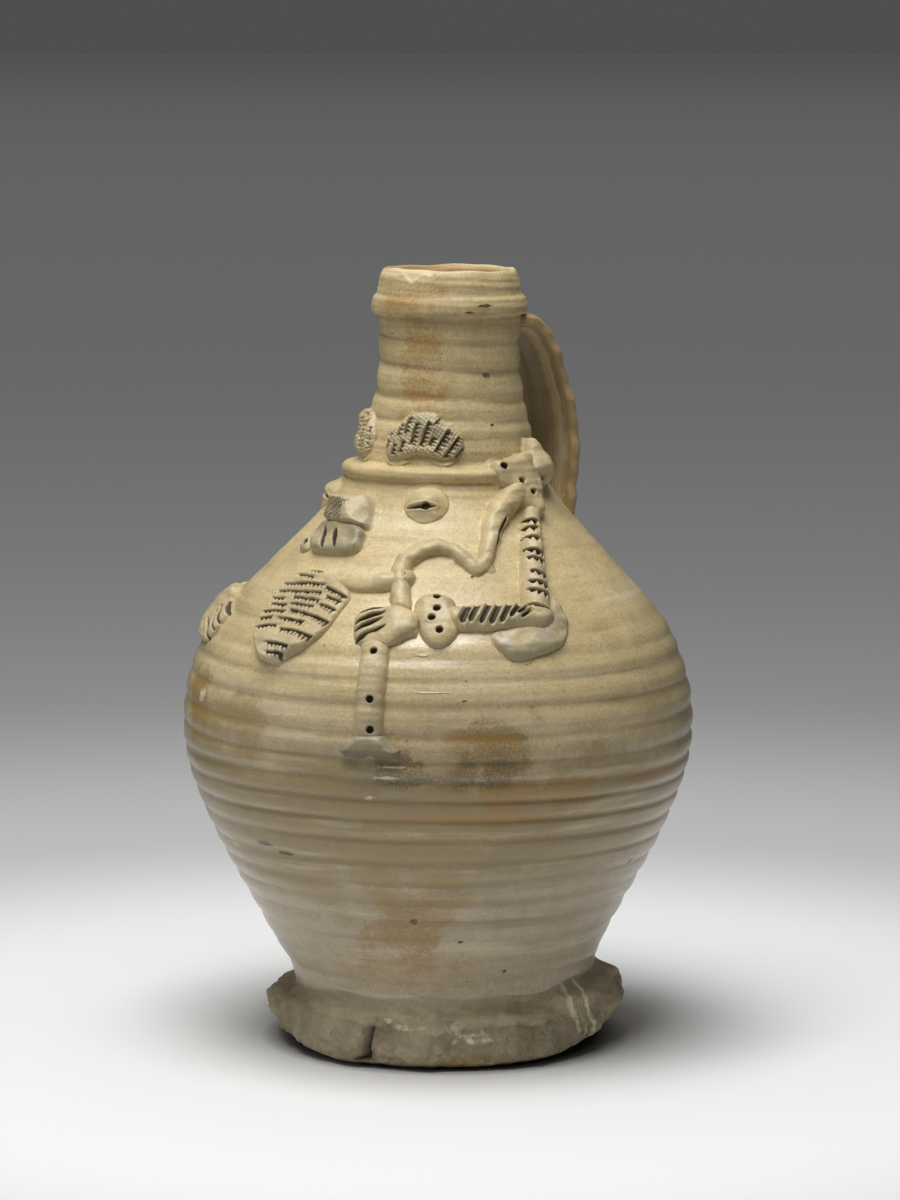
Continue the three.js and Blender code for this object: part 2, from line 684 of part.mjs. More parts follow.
function pipes(leftArm) {
  const droneOf = (grow) => coil({ ...DRONE, route: below(DRONE.route), steps: 26 }, grow);
  const chanterBell = bellOf({ ...CHANTER_BELL, roundness: 3 });
  const blowpipe = coil({ ...BLOWPIPE, route: below(BLOWPIPE.route), steps: 8 });
  const chanter = coil({ ...CHANTER, route: below(CHANTER.route), steps: 11 });
  return {
    drone: cutBy(droneOf(0), leftArm.grown.cap, leftArm.grown.hand),
    droneBell: cutBy(bellOf(DRONE_BELL)(0), leftArm.grown.cap, wallCutter()),
    blowpipe: cutBy(blowpipe, beard(SEAT_GAP), droneOf(SEAT_GAP)),
    chanter: poke(
      cutBy(chanter, leftArm.grown.hand, chanterBell(SEAT_GAP)), below(CHANTER.holes), CHANTER.stick, 4,
    ),
    chanterBell: chanterBell(0),
  };
}

// Materials, all of the same fired clay

const glazed = new THREE.Color(0.62, 0.53, 0.38);
const bare = new THREE.Color(0.42, 0.36, 0.27);
const clay = (color, roughness) => new THREE.MeshStandardMaterial({ color, roughness, metalness: 0 });

function mesh(name, solid, color = glazed, roughness = 0.5) {
  const { vertProperties, triVerts } = solid.getMesh();
  const geometry = new THREE.BufferGeometry();
  geometry.setAttribute('position', new THREE.BufferAttribute(vertProperties.slice(), 3));
  geometry.setIndex(new THREE.BufferAttribute(triVerts.slice(), 1));
  geometry.computeVertexNormals();
  const made = new THREE.Mesh(geometry, clay(color, roughness));
  made.name = name;
  return made;
}

function armMeshes(name, { cap, upper, forearm, wad, cuff, hand }) {
  return new THREE.Group().add(
    mesh(`${name}_shoulder_cap`, cap),
    mesh(`${name}_upper_arm`, upper),
    mesh(`${name}_forearm`, forearm),
    mesh(`${name}_elbow_wad`, wad),
    mesh(`${name}_cuff`, cuff),
    mesh(`${name}_hand`, hand),
  );
}

// Assembly

const leftArm = arm(1);
const rightArm = arm(-1);
const pipe = pipes(leftArm);

const vessel = new THREE.Group().add(
  mesh('thrown_body', thrownBody()),
  mesh('pinched_foot', pinchedFoot(), bare, 0.7),
  mesh('strap_handle', strapHandle()),
);
const face = new THREE.Group().add(
  mesh('left_brow', brow(1)),
  mesh('right_brow', brow(-1)),
  mesh('left_eye', eye(1)),
  mesh('right_eye', eye(-1)),
  mesh('nose', cutBy(nose(0), wallCutter())),
  mesh('mouth', mouth()),
  mesh('beard', beard(0)),
);
const piping = new THREE.Group().add(
  mesh('blowpipe', pipe.blowpipe),
  mesh('drone_pipe', pipe.drone),
  mesh('drone_bell', pipe.droneBell),
  mesh('chanter_pipe', pipe.chanter),
  mesh('chanter_bell', pipe.chanterBell),
);

const jug = new THREE.Group().add(
  vessel,
  face,
  armMeshes('left', leftArm),
  armMeshes('right', rightArm),
  piping,
);

export default jug;
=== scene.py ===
"""A salt-glazed stoneware jug with a bearded face, two arms and a set of pipes laid on in clay."""

import math
import random

import bpy
import numpy as np
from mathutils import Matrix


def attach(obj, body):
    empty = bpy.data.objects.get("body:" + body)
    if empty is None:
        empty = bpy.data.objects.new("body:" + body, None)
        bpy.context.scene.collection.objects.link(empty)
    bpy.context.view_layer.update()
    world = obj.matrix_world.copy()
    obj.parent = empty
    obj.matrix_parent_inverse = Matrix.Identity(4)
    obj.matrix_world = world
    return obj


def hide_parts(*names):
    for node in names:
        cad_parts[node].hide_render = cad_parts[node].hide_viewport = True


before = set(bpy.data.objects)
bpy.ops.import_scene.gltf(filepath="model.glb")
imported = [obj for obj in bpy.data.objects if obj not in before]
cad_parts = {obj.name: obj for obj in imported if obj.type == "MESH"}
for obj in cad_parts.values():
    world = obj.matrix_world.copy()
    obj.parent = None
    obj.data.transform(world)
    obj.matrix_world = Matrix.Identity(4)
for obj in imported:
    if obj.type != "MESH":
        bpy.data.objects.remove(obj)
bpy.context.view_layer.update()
bpy.ops.object.select_all(action="DESELECT")

# Thrown body
# One wall of pale stoneware, thrown on a wheel from the foot up to the lip, with the finger grooves
# left in it. It was fired in salt vapour, which gave it a thin, pitted, cream to grey glaze.
# Every size is in millimetres until a mesh is given its place in metres.
MM = 0.001
SEGMENTS = 216
FINGER_LEAN = 141
BELLY_LEAN = 2.4
NECK_LEAN = 1.0
LEDGE = 181.0
RIM = 242.0
OUTSIDE = [
    (0, 1.4), (24, 1.2), (40, 0.6), (44.4, 0.7), (45.6, 2.6), (46.4, 9), (47.0, 17), (47.5, 22),
    (48.5, 26), (50.6, 30), (55.9, 40), (61.4, 50), (66.8, 60), (71.6, 70), (75.7, 80), (78.7, 90),
    (79.8, 100), (79.1, 110), (76.6, 120), (72.1, 130), (66.0, 138), (56.2, 148), (49.6, 155),
    (43.2, 161.6), (38.2, 167), (35.0, 171), (32.7, 174.6), (31.3, 177.2), (31.1, 178.0),
    (31.8, 178.7), (32.4, 179.6), (32.4, 180.8), (31.7, 181.8), (30.4, 182.2), (28.8, 182.5), (27.6, 183.5),
    (27.1, 186.2), (25.9, 192), (23.8, 200), (22.1, 210), (21.8, 219), (22.0, 226), (22.2, 227.8),
    (23.3, 228.2), (24.0, 229.1), (24.1, 231), (23.5, 233), (22.6, 234.1), (22.2, 235.2),
    (21.9, 237.4), (21.3, 239.8), (20.7, 241.3), (19.8, 242), (18.8, 241.7), (18.1, 240.6),
]
INSIDE = [
    (17.5, 237.6), (17.3, 230), (17.3, 201), (18.6, 187), (22.6, 177.4), (40, 157), (58.2, 138),
    (68, 126), (73.8, 110), (74.2, 99), (72, 82), (64.6, 65), (54, 45), (43, 27), (38, 14), (31, 9.4),
    (14, 9), (0, 9),
]
GROOVES = [17, 25, 32, 40, 47.5, 54.5, 61, 68, 75, 81.5, 87.5, 93.5, 100, 107.5, 116, 123.5, 130, 137, 145]
NECK_GROOVES = [180, 190, 196, 202.5, 211.5, 220, 227]
GROOVE_SIDE = 51
BELLY_GROOVE_DEPTH = [
    (16, 0), (24, 0.25), (33, 0.4), (46, 0.95), (95, 1.0), (112, 0.7), (125, 0.6), (137, 0.35), (147, 0),
]
NECK_GROOVE_DEPTH = [(184, 0), (189, 0.45), (196, 0.85), (221, 0.8), (226, 0)]
BELLY_TOP = 160
CORDON_FOOT = 228
CORDON_TEAR = 0.55
LIP_FOOT = 232
CHIP_FROM = -34
CHIP_TO = 40
CHIP_HEIGHT = 240.6
CHIP_TIP = 18
CHIP_TIP_DROP = 2.3
CHIP_DEPTH = 0.55
DEEPEST_GROOVE = 0.95
UNDER_STEP = 4
HEEL_STEP = 1.2
WALL_STEP = 0.86
NECK_STEP = 0.62
EDGE_STEP = 0.36
INSIDE_STEP = 6
THROAT_STEP = 1.2
MERGED_WITHIN = 0.004
FULL_TURN = 6.28


def ease(value, low, high):
    """From 0 at low to 1 at high, gently."""
    t = np.clip((value - low) / (high - low), 0, 1)
    return t * t * (3 - 2 * t)


def drawn_curve(knots, steps=24):
    """A smooth line through the knots."""
    knots = np.array(knots, float)
    ends = np.vstack([2 * knots[0] - knots[1], knots, 2 * knots[-1] - knots[-2]])
    line = [knots[0]]
    for a, b, c, d in zip(ends[:-3], ends[1:-2], ends[2:-1], ends[3:]):
        for t in np.linspace(0, 1, steps + 1)[1:]:
            line.append(0.5 * (2 * b + (c - a) * t + (2 * a - 5 * b + 4 * c - d) * t**2
                               + (3 * b - a - 3 * c + d) * t**3))
    return np.array(line)


def look_up(table, place):
    """A value read from a list of (place, value)."""
    places, values = zip(*table)
    return np.interp(place, places, values)


def spaced(line, spacing):
    """The line again, with its points as far apart as spacing(radius, height) says."""
    kept = [line[0]]
    walked = 0
    for before, here in zip(line[:-1], line[1:]):
        walked += math.dist(before, here)
        if walked >= spacing(*here):
            kept.append(here)
            walked = 0
    kept[-1] = line[-1]
    return np.array(kept)


def outer_spacing(radius, height):
    """Fine at the ledge, the cordon and the lip, and coarse under the foot."""
    if height < 6:
        return UNDER_STEP if radius < 42 else HEEL_STEP
    if abs(height - 180) < 5 or height > CORDON_FOOT - 3:
        return EDGE_STEP
    return NECK_STEP if height > 185 else WALL_STEP


def inner_spacing(radius, height):
    """Coarse inside, where little is seen, but for the throat."""
    return THROAT_STEP if height > 215 else INSIDE_STEP


def waves(angle, counts, seed):
    """An even run of waves round the jug, from -1 to 1, that closes on itself."""
    dice = random.Random(seed)
    total = sum(np.sin(np.radians(angle) * n + dice.uniform(0, FULL_TURN)) for n in counts)
    return total / len(counts)


def lean(height):
    """How far the axis has moved aside at a height."""
    neck = NECK_LEAN * ease(height, LEDGE - 10, LEDGE + 30)
    belly = BELLY_LEAN * ease(height, 13, 36) * (1 - ease(height, 118, LEDGE))
    towards = math.radians(FINGER_LEAN)
    return (neck - belly) * math.sin(towards), (belly - neck) * math.cos(towards)


def round_the_axis(angle, radius, height):
    """Points in metres from angle in degrees, radius and height."""
    turn = np.radians(angle)
    aside_x, aside_y = lean(height)
    return np.stack([radius * np.sin(turn) + aside_x, aside_y - radius * np.cos(turn), height], 1) * MM


def finger_groove(angle, height, grooves):
    """How deep in a finger groove a place is, from 0 on a crest to 1 in the groove."""
    wander = 0.9 * waves(angle, (1, 2, 3), 4) + 0.5 * np.sin(height / 9 + np.radians(angle) * 2)
    turns = np.interp(height + wander, grooves, np.arange(len(grooves))) + (angle - GROOVE_SIDE) / 360
    off = turns - np.round(turns)
    return 0.5 * (0.5 + 0.5 * np.cos(2 * math.pi * off)) + 0.5 * np.exp(-((off - 0.03) / 0.12) ** 2)


def mesh_points(piece):
    """The piece's points as rows of x, y, z."""
    flat = np.empty(len(piece.data.vertices) * 3)
    piece.data.vertices.foreach_get("co", flat)
    return flat.reshape(-1, 3)


def measured_round(piece):
    """The angle in degrees, and the radius and height in millimetres, of each of its points."""
    x, y, height = (mesh_points(piece) / MM).T
    return np.degrees(np.arctan2(x, -y)), np.hypot(x, y), height


def place_points(piece, points):
    """Moves the piece's points."""
    piece.data.vertices.foreach_set("co", points.ravel())
    piece.data.update()


def mark_points(piece, name, values):
    """A number for each point, which the materials read."""
    layer = piece.data.attributes.new(name, "FLOAT", "POINT")
    layer.data.foreach_set("value", values.astype(np.float32))


def turn_outwards(piece):
    """Merges doubled points, turns every face outwards and shades it smooth."""
    bpy.ops.object.select_all(action="DESELECT")
    piece.select_set(True)
    bpy.context.view_layer.objects.active = piece
    bpy.ops.object.mode_set(mode="EDIT")
    bpy.ops.mesh.select_all(action="SELECT")
    bpy.ops.mesh.remove_doubles(threshold=MERGED_WITHIN * MM)
    bpy.ops.mesh.normals_make_consistent(inside=False)
    bpy.ops.object.mode_set(mode="OBJECT")
    bpy.ops.object.shade_smooth()


def thrown_solid(name, section):
    """A half section that starts and ends on the axis, drawn point by point and spun round."""
    bpy.ops.mesh.primitive_plane_add(size=MM)
    piece = bpy.context.object
    piece.name = name
    bpy.ops.object.mode_set(mode="EDIT")
    bpy.ops.mesh.select_all(action="SELECT")
    bpy.ops.mesh.merge(type="CENTER")
    start = (section[0][0] * MM, 0, section[0][1] * MM)
    bpy.ops.transform.translate(value=start)
    for before, here in zip(section[:-1], section[1:]):
        step = ((here[0] - before[0]) * MM, 0, (here[1] - before[1]) * MM)
        bpy.ops.mesh.extrude_region_move(TRANSFORM_OT_translate={"value": step})
    bpy.ops.mesh.select_all(action="SELECT")
    bpy.ops.mesh.spin(steps=SEGMENTS, angle=2 * math.pi, center=(0, 0, 0), axis=(0, 0, 1))
    bpy.ops.object.mode_set(mode="OBJECT")
    turn_outwards(piece)
    return piece


outside_line = drawn_curve(OUTSIDE)
outside_line[0, 0] = 0
inside_line = drawn_curve([OUTSIDE[-1]] + INSIDE)
inside_line[-1, 0] = 0
section = np.vstack([
    spaced(outside_line, outer_spacing),
    spaced(inside_line[1:], inner_spacing),
])
section[:, 0] = np.maximum(section[:, 0], 0)
thrown_body = thrown_solid("thrown_body_glazed", section)

wall_rows = outside_line[outside_line[:, 1] > 3]
wall_order = np.argsort(wall_rows[:, 1], kind="stable")
wall_heights = wall_rows[wall_order, 1]
wall_radii = wall_rows[wall_order, 0]


def wall_radius(height):
    """The outside radius before the fingers press it."""
    return np.interp(height, wall_heights, wall_radii)


def finger_marks(angle, height):
    """How deep the fingers went at a place, and how far into a groove it lies, from 0 to 1."""
    pressure = 0.86 + 0.3 * waves(angle + height * 1.7, (1, 2, 5), 9)
    on_belly = look_up(BELLY_GROOVE_DEPTH, height) * finger_groove(angle, height, GROOVES)
    on_neck = look_up(NECK_GROOVE_DEPTH, height) * finger_groove(angle, height, NECK_GROOVES)
    depth = pressure * np.where(height < BELLY_TOP, on_belly, on_neck)
    return depth, np.clip(depth / DEEPEST_GROOVE, 0, 1)


def unevenness(angle, height):
    """How far the wall bulges or sinks, as no thrown wall is quite round."""
    slow = 0.28 * waves(angle + height * 0.4, (2, 3, 5), 2)
    return (slow + 0.13 * waves(angle + height * 57, (1, 2, 3), 13)) * ease(height, 10, 40)


angle, radius, height = measured_round(thrown_body)
on_outside = (radius > wall_radius(height) - 1.2) & (height > 3)
depth, groove = finger_marks(angle, height)
bulge = unevenness(angle, height) * (radius > 6)
radius = np.where(radius > 0.01, radius + bulge - on_outside * depth, 0)
torn = waves(angle, (13, 23, 31, 47), 5)
up_cordon = height - CORDON_FOOT
height = height + CORDON_TEAR * torn * on_outside * ease(up_cordon, -1.5, 0) * (1 - ease(up_cordon, 0.6, 1.6))
lip = ease(height, LIP_FOOT, 241)
height = height + lip * (0.4 * waves(angle, (1, 2), 7) + 0.25 * waves(angle, (5, 9), 3))
chip_foot = CHIP_HEIGHT - CHIP_TIP_DROP * np.exp(-(((angle - CHIP_TIP) / 5) ** 2))
chip_foot = chip_foot + 0.3 * waves(angle, (17, 29), 6)
across_chip = ease(angle, CHIP_FROM, CHIP_FROM + 7) * (1 - ease(angle, CHIP_TO - 6, CHIP_TO))
chip = on_outside * across_chip * ease(height, chip_foot - 0.1, chip_foot + 0.4)
radius = radius - CHIP_DEPTH * chip
place_points(thrown_body, round_the_axis(angle, radius, height))
mark_points(thrown_body, "groove", groove * on_outside)
mark_points(thrown_body, "chip", chip)


def wire(tree, kind, inputs=(), **settings):
    """Adds a node to a tree, sets it, and sets or links its inputs."""
    node = tree.nodes.new(kind)
    for name, value in settings.items():
        setattr(node, name, value)
    for key, value in dict(inputs).items():
        if isinstance(value, bpy.types.NodeSocket):
            tree.links.new(value, node.inputs[key])
        else:
            node.inputs[key].default_value = value
    return node


def sums(tree, operation, first, second, third=0.5):
    """One sum on two or three values."""
    return wire(tree, "ShaderNodeMath", {0: first, 1: second, 2: third}, operation=operation).outputs[0]


def times(tree, first, second):
    """The product of two values."""
    return sums(tree, "MULTIPLY", first, second)


def times_plus(tree, first, second, third):
    """The product of two values, and a third added to it."""
    return sums(tree, "MULTIPLY_ADD", first, second, third)


def between(tree, value, low, high, start=0.0, end=1.0):
    """Carries a value from one range to another, smoothly and without going past it."""
    inputs = {"Value": value, "From Min": low, "From Max": high, "To Min": start, "To Max": end}
    return wire(tree, "ShaderNodeMapRange", inputs, interpolation_type="SMOOTHSTEP").outputs["Result"]


def blend(tree, share, first, second, way="MIX"):
    """Mixes two colours by a share."""
    inputs = {"Factor": share, 6: first, 7: second}
    return wire(tree, "ShaderNodeMix", inputs, data_type="RGBA", blend_type=way).outputs[2]


def noise(tree, place, scale, detail=3.0, rough=0.55):
    """Cloudy noise from 0 to 1."""
    inputs = {"Vector": place, "Scale": scale, "Detail": detail, "Roughness": rough}
    return wire(tree, "ShaderNodeTexNoise", inputs).outputs["Fac"]


def length_of(tree, vector):
    """How long a vector is."""
    return wire(tree, "ShaderNodeVectorMath", {0: vector}, operation="LENGTH").outputs["Value"]


def height_in(tree, place):
    """The height of a place above the table, in metres."""
    return wire(tree, "ShaderNodeSeparateXYZ", {"Vector": place}).outputs["Z"]


def new_group(name, inputs, outputs):
    """A shader node group with named inputs and outputs."""
    tree = bpy.data.node_groups.new(name, "ShaderNodeTree")
    for label, kind, value in inputs:
        socket = tree.interface.new_socket(name=label, in_out="INPUT", socket_type=kind)
        if value is not None:
            socket.default_value = value
    for label, kind in outputs:
        tree.interface.new_socket(name=label, in_out="OUTPUT", socket_type=kind)
    return tree, tree.nodes.new("NodeGroupInput"), tree.nodes.new("NodeGroupOutput")


def feed(tree, node, **values):
    """Sets or links a node's inputs by their names, with underscores for spaces."""
    for name, value in values.items():
        socket = node.inputs[name.replace("_", " ")]
        if isinstance(value, bpy.types.NodeSocket):
            tree.links.new(value, socket)
        else:
            socket.default_value = value


def placed_group(tree, group, **values):
    """A group set in a material or in another group: its outputs."""
    node = tree.nodes.new("ShaderNodeGroup")
    node.node_tree = group
    feed(tree, node, **values)
    return node.outputs


def marked(tree, name):
    """What mark_points wrote on the mesh."""
    return wire(tree, "ShaderNodeAttribute", attribute_name=name).outputs["Fac"]


def new_finish(name):
    """A material, with its tree, its shader and the place on the piece."""
    material = bpy.data.materials.new(name)
    material.use_nodes = True
    tree = material.node_tree
    return material, tree, tree.nodes["Principled BSDF"], wire(tree, "ShaderNodeTexCoord").outputs["Object"]


def surface(tree, shader, colour, gloss, relief):
    """Gives a shader its colour, its roughness and a relief in millimetres."""
    bump = wire(tree, "ShaderNodeBump", {"Height": relief, "Distance": MM, "Strength": 1.0})
    feed(tree, shader, Base_Color=colour, Roughness=gloss, Normal=bump.outputs["Normal"])


def salt_skin_group():
    """The pitted skin that salt vapour leaves: dark flecks, cloudy tone and the height of its grain."""
    tree, given, made = new_group(
        "salt_skin",
        [("Place", "NodeSocketVector", None)],
        [("Flecks", "NodeSocketFloat"), ("Cloud", "NodeSocketFloat"), ("Height", "NodeSocketFloat")],
    )
    place = given.outputs["Place"]
    peel = noise(tree, place, 620, 3, 0.6)
    fine = noise(tree, place, 2100, 2, 0.5)
    cells = wire(tree, "ShaderNodeTexVoronoi", {"Vector": place, "Scale": 240.0, "Randomness": 1.0})
    chosen = wire(tree, "ShaderNodeSeparateColor", {"Color": cells.outputs["Color"]})
    rare = sums(tree, "GREATER_THAN", chosen.outputs[0], 0.66)
    size = times_plus(tree, chosen.outputs[1], 0.11, 0.05)
    dot = sums(tree, "SUBTRACT", 1.0, between(tree, cells.outputs["Distance"], 0.0, size))
    dust = between(tree, fine, 0.61, 0.72)
    flecks = sums(tree, "MAXIMUM", times(tree, dot, rare), times(tree, dust, 0.45))
    slow = noise(tree, place, 34, 4, 0.6)
    cloud = times_plus(tree, noise(tree, place, 150, 4, 0.65), 0.6, times(tree, slow, 0.7))
    grain = times_plus(tree, peel, 0.17, times(tree, fine, 0.06))
    grain = sums(tree, "SUBTRACT", grain, times(tree, flecks, 0.12))
    feed(tree, made, Flecks=flecks, Cloud=cloud, Height=grain)
    return tree


def throwing_lines_group():
    """The fine rings that a wet hand leaves on the wheel: their height, and a value for painted highlights
    and browner hollows on them.
    """
    tree, given, made = new_group(
        "throwing_lines",
        [("Place", "NodeSocketVector", None)],
        [("Lines", "NodeSocketFloat"), ("Height", "NodeSocketFloat")],
    )
    flat = wire(tree, "ShaderNodeMapping", {"Vector": given.outputs["Place"], "Scale": (16, 16, 430)})
    broad = wire(tree, "ShaderNodeMapping", {"Vector": given.outputs["Place"], "Scale": (22, 22, 150)})
    narrow = noise(tree, flat.outputs[0], 1.0, 3, 0.6)
    wide = noise(tree, broad.outputs[0], 1.0, 3, 0.55)
    lines = times_plus(tree, narrow, 0.4, times(tree, wide, 0.6))
    feed(tree, made, Lines=lines, Height=times(tree, lines, 0.42))
    return tree


def blot_group():
    """A ragged blot round the middle of its own space, where one unit is its reach."""
    tree, given, made = new_group(
        "blot",
        [("Place", "NodeSocketVector", None), ("Ground", "NodeSocketVector", None),
         ("Ragged", "NodeSocketFloat", 0.5), ("Scale", "NodeSocketFloat", 120.0)],
        [("Mask", "NodeSocketFloat")],
    )
    far = length_of(tree, given.outputs["Place"])
    cloud = noise(tree, given.outputs["Ground"], given.outputs["Scale"], 4, 0.65)
    ragged = times(tree, sums(tree, "SUBTRACT", cloud, 0.5), given.outputs["Ragged"])
    reach = times_plus(tree, ragged, 4.0, far)
    feed(tree, made, Mask=between(tree, reach, 1.0, 0.35))
    return tree


salt_skin = salt_skin_group()
throwing_lines = throwing_lines_group()
blot = blot_group()

CREAM = (0.73, 0.58, 0.30, 1)
LOWER_GREY = (0.50, 0.415, 0.285, 1)
GROOVE_BROWN = (0.25, 0.185, 0.085, 1)
FLECK_BROWN = (0.085, 0.06, 0.035, 1)
STAIN_ORANGE = (0.37, 0.21, 0.052, 1)
STAIN_SMOKE = (0.155, 0.115, 0.052, 1)
STAIN_OCHRE = (0.34, 0.235, 0.088, 1)
BELLY_TAN_AND_SHADE = (0.335, 0.25, 0.103, 1)
PALE_GLAZE = (0.76, 0.67, 0.45, 1)
FRESH_BODY = (0.83, 0.74, 0.52, 1)


def glaze_tones_group():
    """The glaze itself: cream above, darker and greyer towards the foot, brown where it pools in grooves,
    with painted shade there.
    """
    tree, given, made = new_group(
        "glaze_tones",
        [("Place", "NodeSocketVector", None), ("Groove", "NodeSocketFloat", 0.0)],
        [("Color", "NodeSocketColor"), ("Flecks", "NodeSocketFloat"), ("Cloud", "NodeSocketFloat"),
         ("Lines", "NodeSocketFloat"), ("Height", "NodeSocketFloat")],
    )
    place = given.outputs["Place"]
    high = height_in(tree, place)
    skin = placed_group(tree, salt_skin, Place=place)
    rings = placed_group(tree, throwing_lines, Place=place)
    drift = times_plus(tree, noise(tree, place, 22, 3), 0.05, high)
    colour = blend(tree, between(tree, drift, 0.10, 0.165), LOWER_GREY, CREAM)
    # A tan band round the belly, partly the glaze's own tan and partly painted shade where the belly turns
    # downward.
    tan_band_and_shade = times(tree, between(tree, drift, 0.131, 0.111), between(tree, drift, 0.076, 0.09))
    colour = blend(tree, times(tree, tan_band_and_shade, 0.88), colour, BELLY_TAN_AND_SHADE)
    cloud = between(tree, skin["Cloud"], 0.42, 0.82)
    colour = blend(tree, cloud, blend(tree, 0.36, colour, GROOVE_BROWN), colour)
    grain = between(tree, noise(tree, place, 560, 4, 0.75), 0.36, 0.64)
    colour = blend(tree, grain, blend(tree, 0.13, colour, GROOVE_BROWN), colour)
    fine = between(tree, noise(tree, place, 1400, 3, 0.7), 0.56, 0.40)
    colour = blend(tree, times(tree, fine, 0.22), colour, GROOVE_BROWN)
    # Paler on the raised throwing lines: a painted highlight on their crests.
    shine = between(tree, rings["Lines"], 0.52, 0.66)
    colour = blend(tree, times(tree, shine, 0.4), colour, PALE_GLAZE)
    freckles = between(tree, noise(tree, place, 780, 3, 0.7), 0.52, 0.66)
    colour = blend(tree, times(tree, freckles, 0.2), colour, STAIN_ORANGE)
    # Browner in the low throwing lines and the finger grooves: glaze pooled there, and painted shade.
    streak = between(tree, rings["Lines"], 0.50, 0.34)
    colour = blend(tree, times(tree, streak, 0.34), colour, GROOVE_BROWN)
    hollow = times_plus(tree, streak, 0.2, given.outputs["Groove"])
    colour = blend(tree, between(tree, hollow, 0.3, 1.1, 0.0, 0.62), colour, GROOVE_BROWN)
    height = sums(tree, "ADD", skin["Height"], rings["Height"])
    feed(tree, made, Color=colour, Flecks=skin["Flecks"], Cloud=skin["Cloud"], Height=height)
    feed(tree, made, Lines=rings["Lines"])
    return tree


glaze_tones = glaze_tones_group()


def blot_on_wall(tree, place, angle, height, wide, tall, ragged, scale):
    """The mask of a blot at an angle and height on the wall, from its half width and half height."""
    at = round_the_axis(np.array([angle]), wall_radius(np.array([height])), np.array([float(height)]))[0]
    inputs = {
        "Vector": place, "Location": tuple(at), "Rotation": (0, 0, math.radians(angle)),
        "Scale": (wide * MM, max(wide, tall) * MM, tall * MM),
    }
    near = wire(tree, "ShaderNodeMapping", inputs, vector_type="TEXTURE").outputs[0]
    return placed_group(tree, blot, Place=near, Ground=place, Ragged=ragged, Scale=scale)[0]


def painted_blots(tree, place, colour, blots, tint, strength, ragged, scale):
    """A colour with blots of one tint on it, and the masks of the blots added up."""
    cover = 0.0
    for turn, level, wide, tall in blots:
        mask = blot_on_wall(tree, place, turn, level, wide, tall, ragged, scale)
        colour = blend(tree, times(tree, mask, strength), colour, tint)
        cover = sums(tree, "ADD", mask, cover)
    return colour, cover


INSIDE_BROWN = (0.42, 0.235, 0.08, 1)
# Stains, pits and runs are rows of angle, height, half width and half height. A stain's row goes on
# with its tint, its strength and how ragged it is.
WALL_STAINS = [
    (66, 95, 44, 15, STAIN_OCHRE, 0.55, 0.9), (66, 102, 17, 13, STAIN_SMOKE, 0.65, 0.9),
    (74, 90, 32, 5.5, STAIN_ORANGE, 0.85, 0.7), (60, 103, 28, 9, STAIN_ORANGE, 0.55, 0.8),
    (50, 96, 34, 7, STAIN_SMOKE, 0.6, 0.8), (104, 91, 26, 5, STAIN_ORANGE, 0.45, 0.6),
    (62, 82, 42, 3.6, STAIN_ORANGE, 0.8, 0.6), (54, 75.5, 40, 2.8, STAIN_ORANGE, 0.55, 0.6),
    (-19, 112, 13, 12, STAIN_ORANGE, 1.3, 0.5), (-6, 106, 34, 17, STAIN_OCHRE, 0.6, 0.8),
    (43, 56, 20, 34, STAIN_OCHRE, 0.8, 0.8), (42, 42, 15, 18, STAIN_ORANGE, 0.6, 0.7),
    (42, 44, 17, 18, STAIN_SMOKE, 0.22, 0.7), (60, 30, 90, 9, STAIN_OCHRE, 0.28, 0.7),
    (44, 34, 22, 6, STAIN_ORANGE, 0.8, 0.6), (26, 213, 12, 24, STAIN_OCHRE, 0.35, 0.8),
    (27, 219, 10, 13, STAIN_ORANGE, 0.6, 0.7), (24, 206, 11, 11, STAIN_ORANGE, 0.62, 0.7),
    (20, 236, 16, 8, STAIN_ORANGE, 0.7, 0.7), (20, 190, 15, 8, STAIN_ORANGE, 0.3, 0.7),
    (88, 205, 10, 12, STAIN_SMOKE, 0.25, 0.6), (205, 84, 30, 22, STAIN_SMOKE, 0.4, 0.6),
    (248, 118, 24, 16, STAIN_ORANGE, 0.35, 0.6), (158, 52, 22, 18, STAIN_OCHRE, 0.35, 0.7),
]
WALL_PITS = [
    (44, 48, 1.7, 1.36), (83, 210, 1.7, 1.36), (84, 195, 0.9, 0.63), (78, 231.4, 3.2, 0.64),
    (66, 229.6, 1.8, 0.45), (113, 61.5, 1.9, 1.33), (4, 70.2, 4.2, 0.84), (10, 68, 3.6, 0.72),
    (58, 41, 1.1, 0.77), (54, 141, 1.5, 1.05), (61, 152, 0.8, 0.56), (96, 75, 1.0, 0.7),
    (30, 60, 0.7, 0.49), (74, 30, 0.8, 0.64), (57, 118, 1.2, 0.48), (28, 152, 0.8, 0.56),
    (150, 105, 1.2, 1.08), (230, 70, 1.2, 0.96),
]
GLAZE_RUNS = [
    (40, 95.2, 6, 0.9), (41, 98.6, 4, 0.7), (36, 88.8, 2.2, 1.2), (50, 120.5, 6, 0.4), (47, 131, 3, 0.5),
    (-16, 113, 3, 2.4),
]
CHIP_CREAM = (0.68, 0.56, 0.35, 1)


